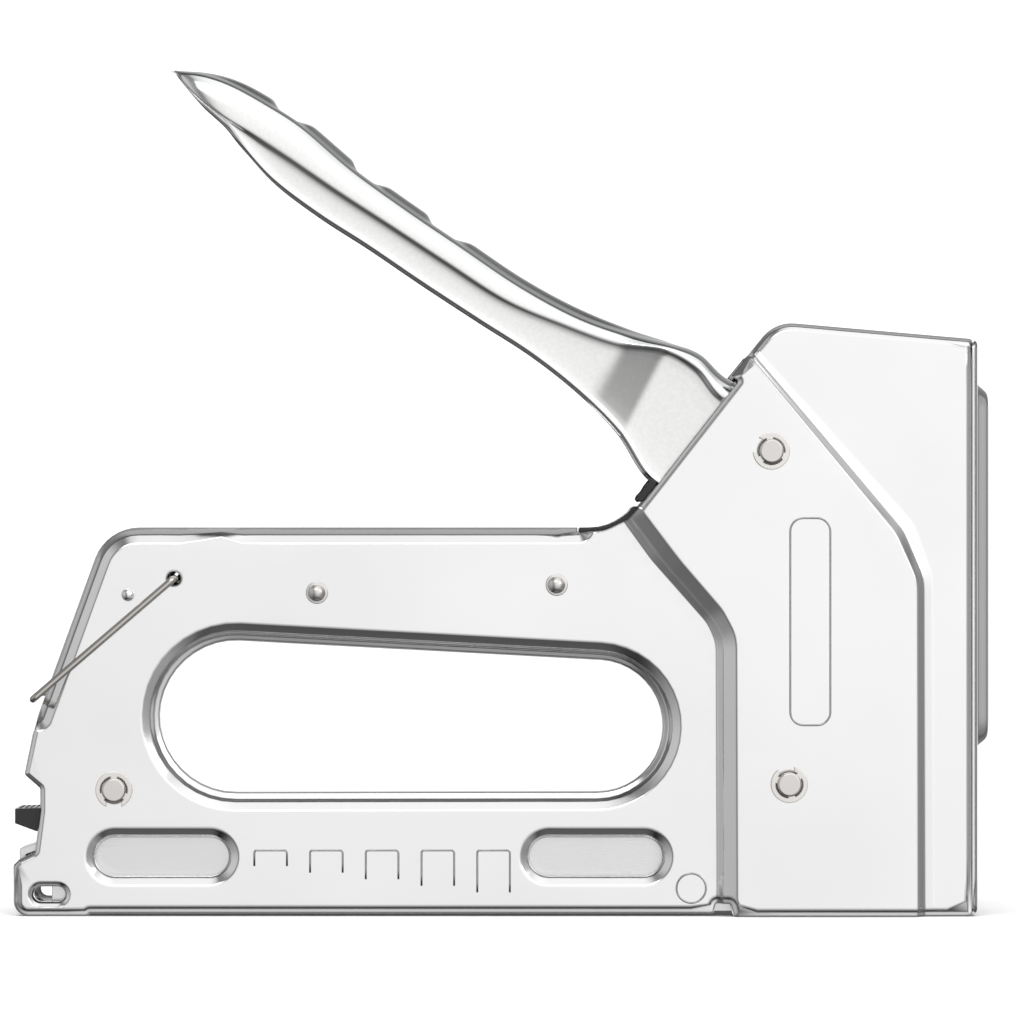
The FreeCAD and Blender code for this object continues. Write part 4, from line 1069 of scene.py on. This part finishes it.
def make_marks():
    """Plain raised marks: a row of staples with longer and longer legs, a circle, a frame."""
    marks = []
    for step in range(STAPLE_COUNT):
        staple = staple_outline(FIRST_STAPLE + STAPLE_PITCH * step, STAPLE_TOP, STAPLE_WIDE,
                                SHORTEST_LEG + LEG_STEP * step)
        marks.append((staple, GRIP, False))
    marks.append((ring(*ROUND_MARK, 36), GRIP, True))
    marks.append((rounded(PANEL_MARK, closed=True, turn_step=12), PANEL, True))
    raised_lines("raised_marks", marks, MARK_HIGH)


make_marks()


# ------------ carried-over nodes

JOIN_GAP, FLAT_TURN, NODE_EDGE, NODE_TURN = 0.0005, 0.3, 0.1, 40


def finish_node(node, slot):
    """A CAD node keeps its shape, gets its finish, and loses its razor edges."""
    piece = frame["nodes"][node]
    for material_slot in piece.material_slots:
        material_slot.material = FINISHES[slot]
    weld = piece.modifiers.new("joined", "WELD")
    weld.merge_threshold = JOIN_GAP * MM
    flats = piece.modifiers.new("merged_flats", "DECIMATE")
    flats.decimate_type = "DISSOLVE"
    flats.angle_limit = math.radians(FLAT_TURN)
    break_edges(piece, NODE_EDGE, NODE_TURN)


for part in frame["record"]["subparts"]:
    if not frame["nodes"][part["node"]].hide_render:
        finish_node(part["node"], part["material_slot"])


# ------------ the stage

FLOOR_REACH = 12.0      # metres, as everywhere on the stage


def make_floor():
    material, tree, surface = new_material("pale_floor")
    mottle = noise(tree, EVEN, 30.0, 4.0)
    tree.links.new(mix_colour(tree, mottle, grey(0.96), grey(0.94)), surface.inputs["Base Color"])
    surface.inputs["Roughness"].default_value = 0.8
    surface.inputs["Specular IOR Level"].default_value = 0.2
    mesh = bpy.data.meshes.new("floor")
    corners = [(-1, -1, 0), (1, -1, 0), (1, 1, 0), (-1, 1, 0)]
    mesh.from_pydata([Vector(corner) * FLOOR_REACH for corner in corners], [], [(0, 1, 2, 3)])
    mesh.materials.append(material)
    floor = bpy.data.objects.new("floor", mesh)
    bpy.context.scene.collection.objects.link(floor)
    floor.visible_glossy = False


def levels(tree, value, stops):
    """Grey levels over a value that runs from -1 to 1."""
    ramp = add_node(tree, "ShaderNodeValToRGB",
                    {"Fac": remap(tree, value, 0.0, 1.0, start=-1.0, end=1.0)})
    for index, (spot, level) in enumerate(stops):
        stop = ramp.color_ramp.elements[index] if index < 2 else ramp.color_ramp.elements.new(1)
        stop.position = (spot + 1) / 2
        stop.color = grey(level)
    return ramp.outputs["Color"]


# Grey levels of the light tent, (direction from -1 to 1, level). The first two are its ends.
FRONT_ACROSS = ((-1, 0.5), (1, 0.2), (-0.8, 0.5), (-0.56, 0.22), (-0.42, 0.18), (-0.26, 0.66),
                (-0.1, 0.86), (0.08, 0.96), (0.3, 1.0), (0.5, 0.92), (0.7, 0.62), (0.92, 0.22))
FRONT_UPRIGHT = ((-1, 0.12), (1, 0.9), (-0.85, 0.06), (-0.6, 0.42), (-0.3, 0.62), (-0.1, 0.82),
                 (0.06, 0.95), (0.5, 1.0), (0.95, 1.0))
BACK_UPRIGHT = ((-1, 0.1), (1, 0.02), (-0.3, 0.3), (-0.12, 1.0), (0.12, 1.0), (0.2, 0.40),
                (0.7, 0.32), (0.82, 0.04))
BACK_ACROSS = ((-1, 0.3), (1, 0.3), (-0.32, 0.4), (-0.16, 1.0), (0.16, 1.0), (0.32, 0.4))
TENT_STRENGTH = 1.27


def tent_wall(tree, first, second):
    """Two runs of grey levels multiplied."""
    node = add_node(tree, "ShaderNodeVectorMath", {0: first, 1: second}, operation="MULTIPLY")
    return node.outputs["Vector"]


def make_world():
    """A light tent: white in front, grey to the sides, dark low down and high at the back."""
    world = bpy.data.worlds.new("studio")
    world.use_nodes = True
    tree = world.node_tree
    place = add_node(tree, "ShaderNodeTexCoord")
    split = add_node(tree, "ShaderNodeSeparateXYZ", {"Vector": place.outputs["Generated"]})
    x, y, z = [split.outputs[axis] for axis in "XYZ"]
    front = tent_wall(tree, levels(tree, x, FRONT_ACROSS), levels(tree, z, FRONT_UPRIGHT))
    back = tent_wall(tree, levels(tree, z, BACK_UPRIGHT), levels(tree, x, BACK_ACROSS))
    background = tree.nodes["Background"]
    tree.links.new(mix_colour(tree, remap(tree, y, 0.0, 1.0, start=-0.02, end=0.08),
                              front, back), background.inputs["Color"])
    background.inputs["Strength"].default_value = TENT_STRENGTH
    bpy.context.scene.world = world


def add_skylight(strength):
    """Even light on the floor all the way back, with soft shadows."""
    light = bpy.data.lights.new("skylight", "SUN")
    light.energy = strength
    light.angle = math.radians(80)
    holder = bpy.data.objects.new("skylight", light)
    holder.rotation_euler = (math.radians(12), math.radians(-8), 0)
    holder.visible_glossy = False
    bpy.context.scene.collection.objects.link(holder)


def add_softbox(name, place, target, size, power):
    """A soft rectangular lamp that points at a spot."""
    light = bpy.data.lights.new(name, "AREA")
    light.shape = "RECTANGLE"
    light.size, light.size_y = size
    light.energy = power
    holder = bpy.data.objects.new(name, light)
    holder.location = place
    holder.rotation_euler = (Vector(target) - Vector(place)).to_track_quat("-Z", "Y").to_euler()
    bpy.context.scene.collection.objects.link(holder)


CAMERA_AWAY, SEEN_WIDTH, SEEN_DEPTH = 1.2, 0.1946, 0.013
AIM_RIGHT, AIM_DOWN = 0.0019, 0.00345


def make_camera():
    """Square to the near side, from far enough away to keep the perspective flat."""
    low, high = cad_box
    aim = Vector(((low.x + high.x) / 2 + AIM_RIGHT, 0.0, (low.z + high.z) / 2 - AIM_DOWN))
    camera = bpy.data.objects.new("camera", bpy.data.cameras.new("camera"))
    camera.data.lens = camera.data.sensor_width * (CAMERA_AWAY - SEEN_DEPTH) / SEEN_WIDTH
    camera.location = aim - Vector((0, CAMERA_AWAY, 0))
    camera.rotation_euler = (math.radians(90), 0, 0)
    camera.data.clip_end = 50.0
    bpy.context.scene.collection.objects.link(camera)
    bpy.context.scene.camera = camera


make_floor()
make_world()
add_skylight(2.5)
add_softbox("key_light", (-0.5, -1.6, 1.5), (0, 0, 0.08), (1.0, 0.8), 5.0)
add_softbox("fill_light", (1.2, -1.2, 0.7), (0, 0, 0.06), (0.8, 0.8), 2.5)
make_camera()
bpy.context.scene.view_settings.view_transform = "Standard"
